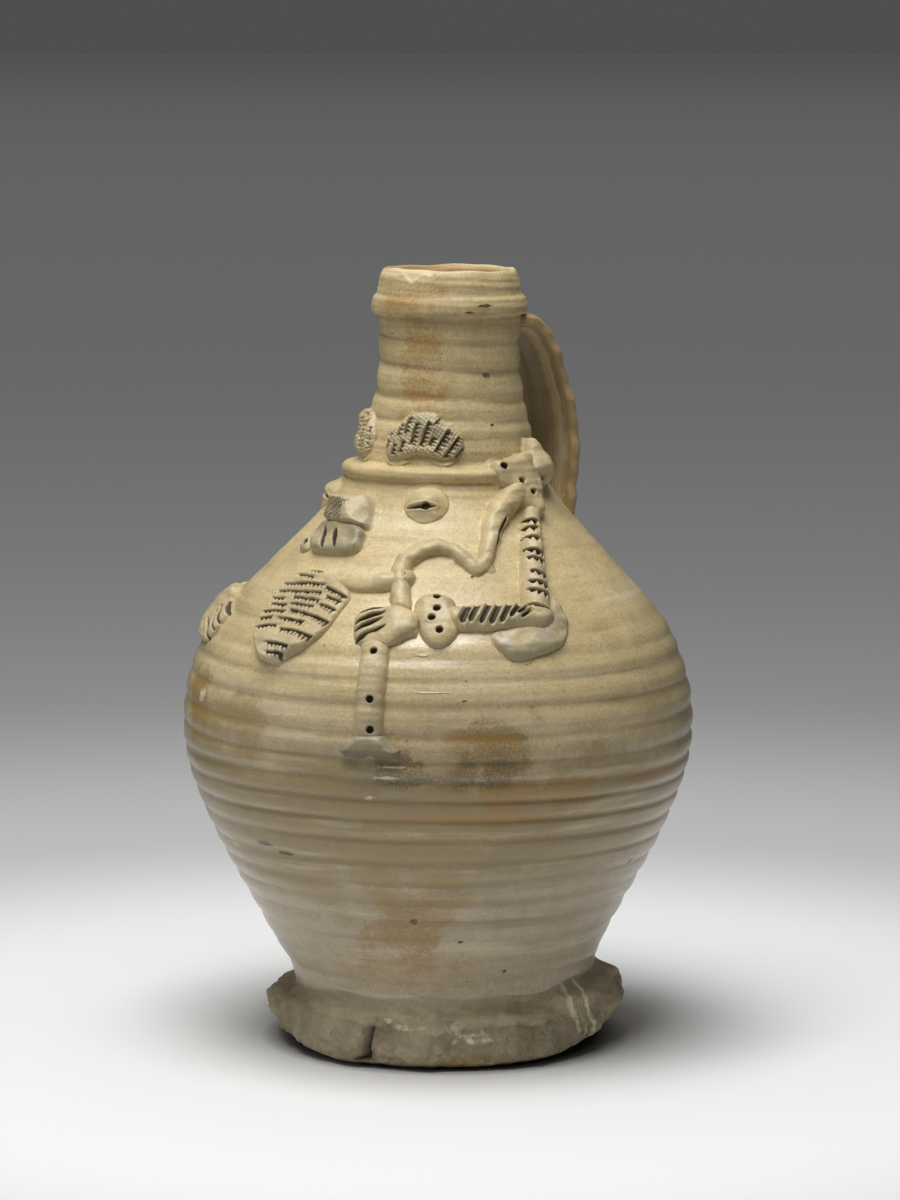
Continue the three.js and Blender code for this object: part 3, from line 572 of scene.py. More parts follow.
def glazed_wall():
    """Cream salt glaze, darker and greyer towards the foot, brown and with painted shade in the grooves, with
    kiln stains.
    """
    material, tree, shader, place = new_finish("glazed_wall")
    high = height_in(tree, place)
    groove = marked(tree, "groove")
    chip = marked(tree, "chip")
    glaze = placed_group(tree, glaze_tones, Place=place, Groove=groove)
    colour = glaze["Color"]
    speckled = between(tree, noise(tree, place, 1500, 4, 0.8), 0.38, 0.60, 0.35, 1.0)
    in_ribs = between(tree, groove, 0.1, 0.8, 0.7, 1.25)
    in_lines = between(tree, glaze["Lines"], 0.60, 0.42, 0.62, 1.0)
    broken = times(tree, times(tree, in_lines, speckled), in_ribs)
    for turn, level, wide, tall, tint, strength, ragged in WALL_STAINS:
        mask = blot_on_wall(tree, place, turn, level, wide, tall, ragged, 70.0)
        through = times(tree, times(tree, mask, broken), strength)
        colour = blend(tree, between(tree, through, 0.0, 0.6), colour, tint)
    within = between(tree, high, (RIM - 14) * MM, (RIM - 4) * MM)
    sideways = {0: place, 1: (1 / MM, 1 / MM, 0)}
    facing = wire(tree, "ShaderNodeVectorMath", sideways, operation="MULTIPLY").outputs[0]
    from_axis = length_of(tree, facing)
    inner = times(tree, within, between(tree, from_axis, 19.8, 18.6))
    colour = blend(tree, times(tree, inner, 0.75), colour, INSIDE_BROWN)
    colour = blend(tree, times(tree, glaze["Flecks"], 0.78), colour, FLECK_BROWN)
    colour, pits = painted_blots(tree, place, colour, WALL_PITS, FLECK_BROWN, 0.9, ragged=0.3, scale=500.0)
    colour, runs = painted_blots(tree, place, colour, GLAZE_RUNS, FRESH_BODY, 0.75, ragged=0.5, scale=400.0)
    relief = times_plus(tree, pits, -0.7, times_plus(tree, runs, 0.45, glaze["Height"]))
    colour = blend(tree, chip, colour, CHIP_CREAM)
    gloss = times_plus(tree, glaze["Cloud"], -0.24, between(tree, high, 0.138, 0.155, 0.48, 0.72))
    surface(tree, shader, colour, gloss, relief)
    feed(tree, shader, Coat_Weight=between(tree, high, 0.152, 0.136, 0.05, 0.5), Coat_Roughness=0.2)
    return material


thrown_body.data.materials.append(glazed_wall())
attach(thrown_body, "root")
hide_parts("thrown_body")

# Pinched foot
# A ring of the same clay, left bare of glaze, luted round the base and pressed down with the thumbs.
# It stands in uneven lobes with a split where its two ends overlap, and its edge lifts off the table.
FOOT_ROUND = 480
FOOT_SECTION = 64
FOOT_MIDDLE = 50
FOOT_THICK = 5
# Angles round the ring's section, at which its top, its lip and its underside part.
TOP_SIDE = 96
LIP_SIDE = -36
UNDER_SIDE = -76
FOOT_HOLLOW_RADIUS = 42.5
FOOT_HOLLOW_HEIGHT = 10
UNDER_LIP_RADIUS = 49
LIP_TURNED_IN = 6.5
LOWEST = 0.05
FOOT_SPLIT = 24
SPLIT_STEP = 1.3
SPLIT_DEPTH = 4
PRESS_DEPTH = 1.3
FOOT_TOP = [
    (-180, 22), (-120, 23), (-80, 20.5), (-40, 18), (-15, 20), (10, 22.5), (35, 23), (90, 23), (115, 24.5),
    (141, 25.5), (160, 23.5), (180, 22),
]
FOOT_RIM = [
    (-180, 0.5), (-70, 0.7), (-39, 1), (-8, 0.6), (16, 0.3), (85, 0.3), (112, 0.6), (141, 1), (165, 0.6),
    (180, 0.5),
]
SOFT_FLARE = [
    (0, 0), (0.1, 0.015), (0.2, 0.06), (0.3, 0.14), (0.4, 0.25), (0.5, 0.39), (0.6, 0.55), (0.7, 0.73),
    (0.8, 0.88), (0.9, 0.97), (1, 1),
]
SHARP_FLARE = [
    (0, 0), (0.07, 0.06), (0.14, 0.24), (0.2, 0.52), (0.28, 0.8), (0.4, 0.95), (0.52, 1), (0.72, 1),
    (0.87, 0.84), (1, 0.62),
]
GLAZE_ENDS = [
    (-180, 18), (-140, 20), (-90, 16), (-50, 14), (-30, 17), (-12, 16), (0, 15), (12, 14), (22, 12.5),
    (34, 11.5), (60, 12), (80, 12), (95, 14), (104, 8), (112, 16), (122, 8), (132, 19), (150, 18), (180, 18),
]
FOOT_REACH = [
    (-180, 55), (-150, 56.3), (-125, 54.6), (-95, 56), (-70, 55.4), (-40, 56.4), (-20, 55.6), (5, 56.4),
    (20, 56.6), (26, 54.6), (40, 55), (62, 54.6), (85, 55.4), (105, 55.2), (130, 56), (150, 55.6), (180, 55),
]
FOOT_UNDER = [
    (-180, 0), (-150, 1.6), (-120, 0.2), (-90, 2.6), (-60, 3.8), (-30, 3.2), (-14, 2.0), (0, 0.6), (12, 0.1),
    (66, 0.2), (81, 0.7), (92, 1.2), (100, 2.2), (111, 3.8), (127, 6), (145, 5.8), (162, 2), (180, 0),
]
THUMB_PRESSES = [
    (-165, 6), (-132, 7), (-98, 6), (-62, 7), (-33, 5), (-12, 5), (33, 4), (58, 6), (92, 7), (118, 5),
    (148, 6),
]

bpy.ops.mesh.primitive_torus_add(
    major_segments=FOOT_ROUND, minor_segments=FOOT_SECTION, major_radius=FOOT_MIDDLE * MM,
    minor_radius=FOOT_THICK * MM,
)
pinched_foot = bpy.context.object
pinched_foot.name = "pinched_foot_bare"
angle, radius, height = measured_round(pinched_foot)
around = np.degrees(np.arctan2(height, radius - FOOT_MIDDLE))
top = look_up(FOOT_TOP, angle) + 0.8 * waves(angle, (7, 11), 8)
reach = look_up(FOOT_REACH, angle) + 0.35 * waves(angle, (9, 14, 23), 3)
under = look_up(FOOT_UNDER, angle) + 0.35 * np.abs(waves(angle, (19, 33), 5))
down = np.clip((95 - around) / 130, 0, 1)
outer = (around > LIP_SIDE) & (around < TOP_SIDE)
lower_lip = np.clip((LIP_SIDE - around) / (LIP_SIDE - UNDER_SIDE), 0, 1)
rim = look_up(FOOT_RIM, angle)
soft = look_up(SOFT_FLARE, down)
flare = soft + (look_up(SHARP_FLARE, down) - soft) * rim
lip = 1.8 + 1.4 * rim
height = top + (under + lip - top) * down
depth, groove = finger_marks(angle, height)
wall_edge = wall_radius(height) + (unevenness(angle, height) - depth) * (1 - down)
wall_edge = wall_edge - 0.3 + 0.3 * ease(down, 0, 0.2)
radius = wall_edge + (reach - wall_edge) * flare
press = np.zeros(len(angle))
up_the_side = np.clip((height - under) / (top - under), 0, 1)
for thumb, width in THUMB_PRESSES:
    near = (angle - thumb + 180) % 360 - 180
    press += np.exp(-((near / width) ** 2)) * np.sin(math.pi * up_the_side)
radius = radius - PRESS_DEPTH * press * outer * ease(down, 0.1, 0.4)
split_side = angle - FOOT_SPLIT - 0.08 * (height - 8)
beside_split = ease(split_side, -0.5, 0.7) * (1 - ease(split_side, 6, 14))
radius = radius - outer * SPLIT_STEP * beside_split * (height < 15)
crack = np.exp(-((split_side / 0.6) ** 2)) * (1 - ease(height, 11, 14))
crack = np.maximum(crack, ease(4.6 - height - 0.9 * np.abs(split_side + 1.4), 0, 1.4))
radius = radius - outer * SPLIT_DEPTH * crack
lip_fall = np.sin(lower_lip * math.pi / 2)
lip_share = 1 - 0.38 * rim
lip_wall = wall_radius(under + lip)
lip_edge = lip_wall + (reach - lip_wall) * lip_share
radius = np.where(lower_lip > 0, lip_edge - LIP_TURNED_IN * lower_lip, radius)
height = np.where(lower_lip > 0, (under + lip) - lip * lip_fall, height)
inner_low = around < UNDER_SIDE
inner_high = around > TOP_SIDE
rest = np.clip((UNDER_SIDE - around) / (180 + UNDER_SIDE), 0, 1)
rest = np.where(inner_high, np.clip((180 - around) / (180 - TOP_SIDE), 0, 1), rest)
radius = np.where(inner_low, lip_edge - LIP_TURNED_IN - (lip_edge - UNDER_LIP_RADIUS) * rest, radius)
height = np.where(inner_low, under + (FOOT_HOLLOW_HEIGHT - under) * rest**1.5, height)
inner_reach = wall_radius(top) - 0.8 - FOOT_HOLLOW_RADIUS
radius = np.where(inner_high, FOOT_HOLLOW_RADIUS + inner_reach * rest, radius)
height = np.where(inner_high, FOOT_HOLLOW_HEIGHT + (top - FOOT_HOLLOW_HEIGHT) * rest**0.7, height)
height = np.maximum(height, LOWEST)
lumps = 0.42 * np.sin(angle * 0.9 + height * 0.7) * np.sin(angle * 0.37 - height * 1.1)
lumps = lumps + 0.95 * np.sin(angle * 0.31 + height * 0.22) * np.sin(angle * 0.17 - height * 0.36 + 1)
lumps = lumps + 0.34 * np.sin(angle * 1.7 - height * 0.9) * np.sin(angle * 0.6 + height * 1.6)
knuckle = 1.6 * np.exp(-(((angle - 9) / 6) ** 2) - ((height - 13.5) / 3.6) ** 2)
crest = -1.3 * np.exp(-(((height - 13.6 - 1.2 * np.sin(angle / 6)) / 1.1) ** 2)) * ease(angle, 26, 34)
lumps = (lumps + crest * (1 - ease(angle, 72, 84))) * ease(down, 0.1, 0.3) + knuckle
lumps = lumps * outer
place_points(pinched_foot, round_the_axis(angle, radius + lumps, height))
# The split and the underside of the lip are marked as cut, for the foot's material to paint dark as shade.
mark_points(pinched_foot, "cut", np.maximum(np.clip(crack, 0, 1) * outer, ease(lower_lip, 0.3, 0.8)))
glaze_edge = look_up(GLAZE_ENDS, angle) + 0.9 * waves(angle, (9, 17, 31), 12)
mark_points(pinched_foot, "bare", 1 - ease(height, glaze_edge - 0.4, glaze_edge + 1.2))
turn_outwards(pinched_foot)

FOOT_CLAY = (0.38, 0.315, 0.205, 1)
FOOT_PALE = (0.49, 0.42, 0.30, 1)
FOOT_DARK = (0.26, 0.205, 0.12, 1)
UNDER_PAINTED_SHADE = (0.02, 0.015, 0.01, 1)
FOOT_RUST = [(46, 6, 9, 3.5), (60, 3, 16, 3)]
FOOT_BROWN = [(70, 17.5, 30, 2.6), (128, 14, 12, 6), (-34, 13, 12, 3)]
WET_SPOTS = [
    (9, 14, 4.8, 2.52), (30, 14.5, 3.3, 1.62), (36, 12.5, 5.1, 1.98), (44, 11.5, 7.5, 2.7), (54, 12, 6, 2.88),
    (60, 11, 8.25, 1.62), (62, 9.5, 9, 1.62), (50, 9, 6.75, 1.62), (78, 10, 3.9, 2.88), (75, 12, 3, 1.8),
    (100, 14, 1.65, 12.6), (108, 15, 1.5, 14.4), (104, 10, 1.2, 9), (-20, 12, 3.6, 2.16),
]


def bare_foot_clay():
    """Unglazed body: matt and grey-brown, paler in patches, with shiny spots of stray glaze."""
    material, tree, shader, place = new_finish("bare_foot")
    glaze = placed_group(tree, glaze_tones, Place=place)
    patches = noise(tree, place, 75, 5, 0.6)
    colour = blend(tree, between(tree, patches, 0.30, 0.66), FOOT_DARK, FOOT_CLAY)
    pale = between(tree, noise(tree, place, 150, 4, 0.6), 0.50, 0.72)
    colour = blend(tree, times(tree, pale, 0.4), colour, FOOT_PALE)
    colour, _ = painted_blots(tree, place, colour, FOOT_RUST, STAIN_ORANGE, 0.45, ragged=0.5, scale=160.0)
    bare = marked(tree, "bare")
    mottle = times_plus(tree, noise(tree, place, 420, 4, 0.7), 0.8, sums(tree, "SUBTRACT", bare, 0.4))
    colour = blend(tree, between(tree, mottle, 0.25, 0.75), glaze["Color"], colour)
    colour, _ = painted_blots(tree, place, colour, FOOT_BROWN, GROOVE_BROWN, 0.5, ragged=0.5, scale=160.0)
    wet = 0.0
    for turn, level, wide, tall in WET_SPOTS:
        wet = sums(tree, "MAXIMUM", blot_on_wall(tree, place, turn, level, wide, tall, 0.55, 300.0), wet)
    colour = blend(tree, wet, colour, FRESH_BODY)
    colour = blend(tree, times(tree, glaze["Flecks"], 0.5), colour, FLECK_BROWN)
    cut = marked(tree, "cut")
    # Painted shade in the split and under the turned-in lip.
    colour = blend(tree, times(tree, cut, 0.97), colour, UNDER_PAINTED_SHADE)
    relief = times_plus(tree, patches, 0.9, glaze["Height"])
    dented = times(tree, between(tree, noise(tree, place, 230, 3, 0.6), 0.35, 0.6), bare)
    relief = times_plus(tree, dented, 0.5, relief)
    relief = times_plus(tree, wet, 0.4, relief)
    surface(tree, shader, colour, between(tree, wet, 0.0, 1.0, 0.62, 0.22), relief)
    return material


pinched_foot.data.materials.append(bare_foot_clay())
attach(pinched_foot, "root")
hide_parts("pinched_foot")

# Strap handle
# A strap of clay pulled thin by wet fingers, which left ridges along it. Its top end is pressed on
# under the cordon and its lower end on the shoulder, cut off blunt.
HANDLE_ROUTE = [
    (16.5, 225), (22.9, 225.2), (28.6, 221.2), (34.0, 212), (38.8, 199.5), (41.0, 189), (40.9, 178),
    (39.9, 168.4), (38.9, 160), (38.2, 154.6),
]
HANDLE_WIDTHS = [26, 29, 28, 27, 27, 28, 28.5, 29.5, 30, 28]
HANDLE_THICK = [6, 6.2, 6.2, 6, 5.8, 6, 6.2, 6.2, 6, 5.4]
HANDLE_RINGS = 190
HANDLE_SIDES = 132
END_ROUNDING = 1.4
RIDGE_DEPTH = 0.55
FINE_RIDGE_DEPTH = 0.09
HANDLE_NICKS = [(0.615, 0.02, 1.0), (0.86, 0.016, 0.8)]


def rounded_over(inside, rounding):
    """From 0 at an edge to 1 at its rounding's reach, along a quarter circle."""
    short = 1 - np.clip(inside / rounding, 0, 1)
    return np.sqrt(1 - short**2)


bpy.ops.mesh.primitive_uv_sphere_add(segments=HANDLE_SIDES, ring_count=HANDLE_RINGS, radius=1)
handle = bpy.context.object
handle.name = "strap_handle_glazed"
points = mesh_points(handle)
along = np.arccos(np.clip(points[:, 2], -1, 1)) / math.pi
side = np.arctan2(points[:, 1], points[:, 0])
route = drawn_curve(HANDLE_ROUTE, 40)
walked = np.concatenate([[0], np.cumsum(np.hypot(*np.diff(route, axis=0).T))])
share = walked / walked[-1]
knots = np.linspace(0, 1, len(HANDLE_WIDTHS))
middle_r = np.interp(along, share, route[:, 0])
middle_z = np.interp(along, share, route[:, 1])
slope = np.gradient(route, axis=0)
slope = slope / np.linalg.norm(slope, axis=1)[:, None]
out_r = np.interp(along, share, -slope[:, 1])
out_z = np.interp(along, share, slope[:, 0])
end_cap = rounded_over(np.minimum(along, 1 - along) * walked[-1], END_ROUNDING)
half_wide = np.interp(along, knots, HANDLE_WIDTHS) / 2
half_wide = half_wide + 0.35 * np.sin(along * 31) + 0.25 * np.sin(along * 67 + side)
half_thick = np.interp(along, knots, HANDLE_THICK) / 2
across = np.sign(np.cos(side)) * np.abs(np.cos(side)) ** 0.62
lift = np.sign(np.sin(side)) * np.abs(np.sin(side)) ** 0.75
ridges = 0.5 + 0.5 * np.cos(across * 9.5 + 0.6 * np.sin(along * 5))
fine_ridges = np.sin(across * 41 + 1.5 * np.sin(along * 7)) + 0.7 * np.sin(across * 67 + along * 6)
lift_mm = lift * half_thick
lift_mm = lift_mm - np.sign(lift) * (RIDGE_DEPTH * ridges * (np.abs(across) < 0.92) * np.abs(lift) ** 2)
lift_mm = lift_mm - np.sign(lift) * FINE_RIDGE_DEPTH * fine_ridges * np.abs(lift)
torn = sum(deep * np.exp(-(((along - at) / wide) ** 2)) for at, wide, deep in HANDLE_NICKS)
torn = torn * ease(across, 0.9, 1.0)
sideways = across * half_wide * end_cap * (1 - 0.07 * torn)
lift_mm = lift_mm * end_cap
strap = np.stack([
    -sideways * MM,
    (middle_r + out_r * lift_mm) * MM,
    (middle_z + out_z * lift_mm) * MM,
], 1)
aside_x, aside_y = lean(strap[:, 2] / MM)
strap[:, 0] += aside_x * MM
strap[:, 1] += aside_y * MM
place_points(handle, strap)
mark_points(handle, "across", across)
mark_points(handle, "cut", np.clip(torn, 0, 1))
turn_outwards(handle)


def glazed_strap():
    """The wall's glaze on a pulled strap: streaks along it, orange where it ran thin at the edges."""
    material, tree, shader, place = new_finish("glazed_handle")
    glaze = placed_group(tree, glaze_tones, Place=place)
    across = marked(tree, "across")
    high = height_in(tree, place)
    stretched = {"X": times(tree, across, 26.0), "Z": times(tree, high, 22.0)}
    strip = wire(tree, "ShaderNodeCombineXYZ", stretched).outputs[0]
    pulled = noise(tree, strip, 1.0, 4, 0.6)
    colour = blend(tree, 0.2, glaze["Color"], LOWER_GREY)
    colour = blend(tree, between(tree, pulled, 0.56, 0.40, 0.0, 0.5), colour, GROOVE_BROWN)
    ragged = times_plus(tree, noise(tree, place, 240, 4, 0.7), 0.3, sums(tree, "ABSOLUTE", across, 0.0))
    streak = times(tree, between(tree, ragged, 0.62, 0.76), between(tree, ragged, 0.98, 0.86))
    colour = blend(tree, times(tree, streak, 0.7), colour, PALE_GLAZE)
    edge = between(tree, ragged, 0.92, 1.02)
    rust = times(tree, between(tree, pulled, 0.38, 0.56), times_plus(tree, edge, 0.5, 0.14))
    colour = blend(tree, rust, colour, STAIN_ORANGE)
    colour = blend(tree, times(tree, glaze["Flecks"], 0.6), colour, FLECK_BROWN)
    cut = marked(tree, "cut")
    # Painted shade in the torn nicks at the strap's edges.
    colour = blend(tree, times(tree, cut, 0.8), colour, FLECK_BROWN)
    relief = times_plus(tree, pulled, 0.5, glaze["Height"])
    surface(tree, shader, colour, between(tree, pulled, 0.3, 0.7, 0.55, 0.36), relief)
    feed(tree, shader, Coat_Weight=0.15, Coat_Roughness=0.3)
    return material


handle.data.materials.append(glazed_strap())
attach(handle, "root")
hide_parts("strap_handle")

# Brows
# Two dabs of clay pressed on the foot of the neck, thick at the top and thin below. A toothed tool was
# pushed into them in slanting rows, which left ragged tufts.
# A piece's place on the wall is its turn from the front and its drop below the ledge, and its reach is
# left, right, low and high. A cut's row is the line it follows and its width.
DAB_SPACING = 0.23
SUNK = -2.4
SMEAR_REACH = 1.2
EDGE_FALL = 4.0
BROW = (35, -9.5)
BROW_OUTLINE = [
    (-13.2, -1.8), (-12, 1.9), (-9, 5.2), (-6.2, 7.8), (-0.4, 8.4), (3.2, 7.2), (7.6, 4.4), (11.4, 1.6),
    (12.7, -1.6), (12.2, -3.4), (9.3, -5.6), (6.8, -6.3), (2.4, -4.5), (-1.8, -4.1), (-4.6, -5.3),
    (-10, -6.6), (-12, -5.2),
]
BROW_CUTS = [
    ([(-10.4, 3.4), (-11.4, 0.6)], 1.4), ([(-7.4, 5.6), (-8.3, 0.6)], 1.7),
    ([(-4.9, 8.0), (-5.4, 6.2), (-6.2, 1.6)], 1.8), ([(-2.6, 5.6), (-3.2, 2.4), (-3.9, -1.6)], 2.2),
    ([(1.5, 5.8), (0.3, 2.6), (-1.0, -1.8)], 2.2), ([(4.2, 6.9), (3.0, 4.8)], 1.6),
    ([(3.0, 1.4), (1.8, -1.6)], 1.8), ([(7.5, 3.7), (6.0, 1.2), (3.8, -3.6)], 2.4),
    ([(10.7, 1.4), (9.3, -0.6), (6.6, -5.2)], 2.2), ([(-11.8, -0.2), (-12.2, -3.6)], 1.3),
    ([(-9.0, -1.0), (-9.8, -5.0)], 1.6), ([(-6.4, 0.0), (-7.2, -4.2)], 1.6),
    ([(12.4, -1.8), (9.8, -5.0)], 1.2),
]
BROW_REACH = (-14.5, 14.5, -8, 10)
DRAPE_STEP = 0.25

draped_heights = np.arange(4, RIM - 1, DRAPE_STEP)


def draped_wall(spread):
    """The wall's line evened out over a spread, as clay laid on it would lie: radii, way up, slopes."""
    reach = round(3.5 * spread / DRAPE_STEP)
    kernel = np.exp(-0.5 * (np.arange(-reach, reach + 1) * DRAPE_STEP / spread) ** 2)
    padded = np.pad(wall_radius(draped_heights), reach, mode="reflect", reflect_type="odd")
    radii = np.convolve(padded, kernel / kernel.sum(), "valid")
    walk = np.concatenate([[0], np.cumsum(np.hypot(np.diff(radii), np.diff(draped_heights)))])
    return radii, walk, np.gradient(radii, draped_heights)


CLOSE_DRAPE = draped_wall(1.6)
LOOSE_DRAPE = draped_wall(5)


def on_drape(drape, turn, drop, u, v, lift, side):
    """Places u across and v up a draped wall from a turn and a drop below the ledge, lifted off it."""
    radii, walk, slopes = drape
    start = np.interp(LEDGE - drop, draped_heights, walk)
    height = np.interp(start + v, walk, draped_heights)
    radius = np.interp(height, draped_heights, radii)
    slope = np.interp(height, draped_heights, slopes)
    steep = np.hypot(1, slope)
    angle = side * (turn + np.degrees(u / radius))
    depth, groove = finger_marks(angle, height)
    follows = 1 - 0.6 * ease(lift, 0.6, 3.0)
    radius = radius + unevenness(angle, height) - depth * follows
    return round_the_axis(angle, radius + lift / steep, height - lift * slope / steep)


def pressed_on_wall(turn, drop, u, v, lift, side=1):
    """Thin edges follow the wall closely, and the thick middle bridges its hollows."""
    close = on_drape(CLOSE_DRAPE, turn, drop, u, v, lift, side)
    loose = on_drape(LOOSE_DRAPE, turn, drop, u, v, lift, side)
    return close + (loose - close) * ease(lift, 1.2, 3.4)[:, None]


def rounded(outline, rounds=3):
    """The outline with its corners cut off, again and again."""
    ring = np.array(outline, float)
    for _ in range(rounds):
        after = np.roll(ring, -1, axis=0)
        ring = np.stack([0.75 * ring + 0.25 * after, 0.25 * ring + 0.75 * after], 1).reshape(-1, 2)
    return ring


def nearest_on_line(u, v, line):
    """Distance to a line, how far along it the nearest place is, and which side of it that is."""
    line = np.array(line, float)
    best = np.full(u.shape, 1e9)
    along = np.zeros(u.shape)
    side = np.ones(u.shape)
    walked = 0
    for a, b in zip(line[:-1], line[1:]):
        step = b - a
        length = math.hypot(*step)
        t = np.clip(((u - a[0]) * step[0] + (v - a[1]) * step[1]) / length**2, 0, 1)
        off_u = u - a[0] - t * step[0]
        off_v = v - a[1] - t * step[1]
        off = np.hypot(off_u, off_v)
        nearer = off < best
        best = np.where(nearer, off, best)
        along = np.where(nearer, walked + t * length, along)
        side = np.where(nearer, np.sign(step[1] * off_u - step[0] * off_v), side)
        walked += length
    return best, along, side


def inside_outline(u, v, outline):
    """Distance in from an outline, less than 0 outside it."""
    ring = rounded(outline)
    closed = np.vstack([ring, ring[:1]])
    best, _, _ = nearest_on_line(u, v, closed)
    within = np.zeros(u.shape, bool)
    for (au, av), (bu, bv) in zip(closed[:-1], closed[1:]):
        if av != bv:
            crosses = (av > v) != (bv > v)
            within ^= crosses & (u < (bu - au) * (v - av) / (bv - av) + au)
    return np.where(within, best, -best)


def smeared(inside, smear):
    """Clay and glaze that fill the angle at the edge of a piece, and thin out over the wall."""
    fall = np.where(inside < -1.5, (inside + 1.5) * EDGE_FALL, 0)
    return np.where(inside > 0, smear, (smear + 0.3) * np.exp(inside / 0.55) - 0.3) + fall


def dab(u, v, outline, crown, rounding, smear=0.2):
    """Lift of a dab of clay: rounded over at its edge, and smeared down on to the wall outside it."""
    inside = inside_outline(u, v, outline)
    return (crown - smear) * rounded_over(inside, rounding) + smeared(inside, smear)


def roll(u, v, route, widths, crowns, smear=0.25):
    """Lift of a rolled coil of clay laid along a route on the wall."""
    off, along, _ = nearest_on_line(u, v, route)
    stops = np.linspace(0, along.max(), len(widths))
    half = np.interp(along, stops, widths) / 2
    crown = np.interp(along, stops, crowns)
    t = np.clip(off / half, 0, 1)
    return (crown - smear) * np.sqrt(1 - t**2) + smeared(half - off, smear)


def toothed_cut(u, v, line, width, pitch, deep=1.7, swell=0.0):
    """Depth of a cut by a toothed tool: undercut on its upper side, with teeth running out below."""
    off, along, side = nearest_on_line(u, v, line)
    length = along.max()
    below = off * side
    place = along / pitch + 0.1 * np.sin(along * 2.7 + line[0][0]) + line[0][1]
    point = (1 - np.abs(2 * (place % 1) - 1)) ** 0.8
    tooth = width * (0.24 + 0.95 * point) * (1 + swell * (2 * along / length - 1))
    t = np.clip(below / tooth, 0, 1)
    wall = 1 - ease(-below, 0, 0.25)
    bank = 0.4 * np.exp(-(((below - tooth - 0.25) / 0.3) ** 2)) * (below > 0)
    return (deep * np.where(below > 0, 1 - t**2.2, wall) - bank) * faded_ends(along, -0.2, 0.6)


def pricked_hole(u, v, at, size, deep=2.6):
    """Depth of a hole made with a stick, with its thrown-up rim."""
    away = np.hypot(u - at[0], v - at[1]) / size
    return deep * (1 - ease(away, 0.78, 1.04)) - 0.22 * np.exp(-(((away - 1.3) / 0.2) ** 2))


def faded_ends(along, low, high):
    """From 0 to 1 at the start of a line, and back to 0 at its end."""
    return ease(along, low, high) * ease(along.max() - along, low, high)


def deepest(cuts):
    """The deepest of several cuts at each place."""
    return np.maximum.reduce(list(cuts), initial=0)


# Each lift gives a height and a cut depth, and the relief material paints the cut depth dark as shade in cuts
# and holes.
def carved(height, cut):
    """A lift after a cut that goes no deeper than the wall under the clay, and the cut."""
    return height - np.minimum(cut, np.maximum(height - 0.12, 0)), cut


def hand_lumps(u, v, seed, size=0.14):
    """Soft unevenness left by fingers."""
    dice = random.Random(seed)
    total = np.zeros(u.shape)
    for length in (4.6, 5.9, 7.7, 9.8, 13.0):
        turn = dice.uniform(0, FULL_TURN)
        along = (u * math.cos(turn) + v * math.sin(turn)) * FULL_TURN / length
        total += np.sin(along + dice.uniform(0, FULL_TURN))
    return size * total / 2.2


def clay_piece(name, turn, drop, reach, lift, side=1, ashen=0.3):
    """A piece of relief modelled flat on a fine grid, cut out, thickened and pressed on the wall."""
    left, low = reach[0] - SMEAR_REACH, reach[2] - SMEAR_REACH
    right, top = reach[1] + SMEAR_REACH, reach[3] + SMEAR_REACH
    wide = right - left
    tall = top - low
    bpy.ops.object.select_all(action="DESELECT")
    bpy.ops.mesh.primitive_grid_add(
        x_subdivisions=round(wide / DAB_SPACING), y_subdivisions=round(tall / DAB_SPACING), size=1,
        location=((left + right) / 2, (low + top) / 2, 0),
    )
    piece = bpy.context.object
    piece.name = name + "_clay"
    piece.scale = (wide, tall, 1)
    bpy.ops.object.transform_apply(location=True, rotation=True, scale=True)
    flat = mesh_points(piece)
    height, _ = lift(flat[:, 0], flat[:, 1])
    piece.data.polygons.foreach_set("select", np.zeros(len(piece.data.polygons), bool))
    piece.data.edges.foreach_set("select", np.zeros(len(piece.data.edges), bool))
    piece.data.vertices.foreach_set("select", height < SUNK + 0.4)
    bpy.ops.object.mode_set(mode="EDIT")
    bpy.ops.mesh.select_mode(type="VERT")
    bpy.ops.mesh.delete(type="VERT")
    bpy.ops.mesh.select_all(action="SELECT")
    bpy.ops.mesh.extrude_region_move(TRANSFORM_OT_translate={"value": (0, 0, 1)})
    bpy.ops.object.mode_set(mode="OBJECT")
    flat = mesh_points(piece)
    height, cut = lift(flat[:, 0], flat[:, 1])
    height = np.where(flat[:, 2] > 0.5, np.maximum(height, SUNK + 0.3), SUNK)
    place_points(piece, pressed_on_wall(turn, drop, flat[:, 0], flat[:, 1], height, side))
    # The cut depth, which the material paints as shade.
    mark_points(piece, "cut", np.clip(cut, 0, 3) * (flat[:, 2] > 0.5))
    mark_points(piece, "thick", np.clip(height, 0, 3))
    mark_points(piece, "ashen", np.full(len(height), ashen))
    turn_outwards(piece)
    piece.data.materials.append(relief_material)
    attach(piece, "root")
    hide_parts(name)


RELIEF_GREY = (0.34, 0.30, 0.205, 1)
CUT_PAINTED_SHADE = (0.055, 0.045, 0.028, 1)
POOLED_GLAZE = (0.78, 0.68, 0.45, 1)


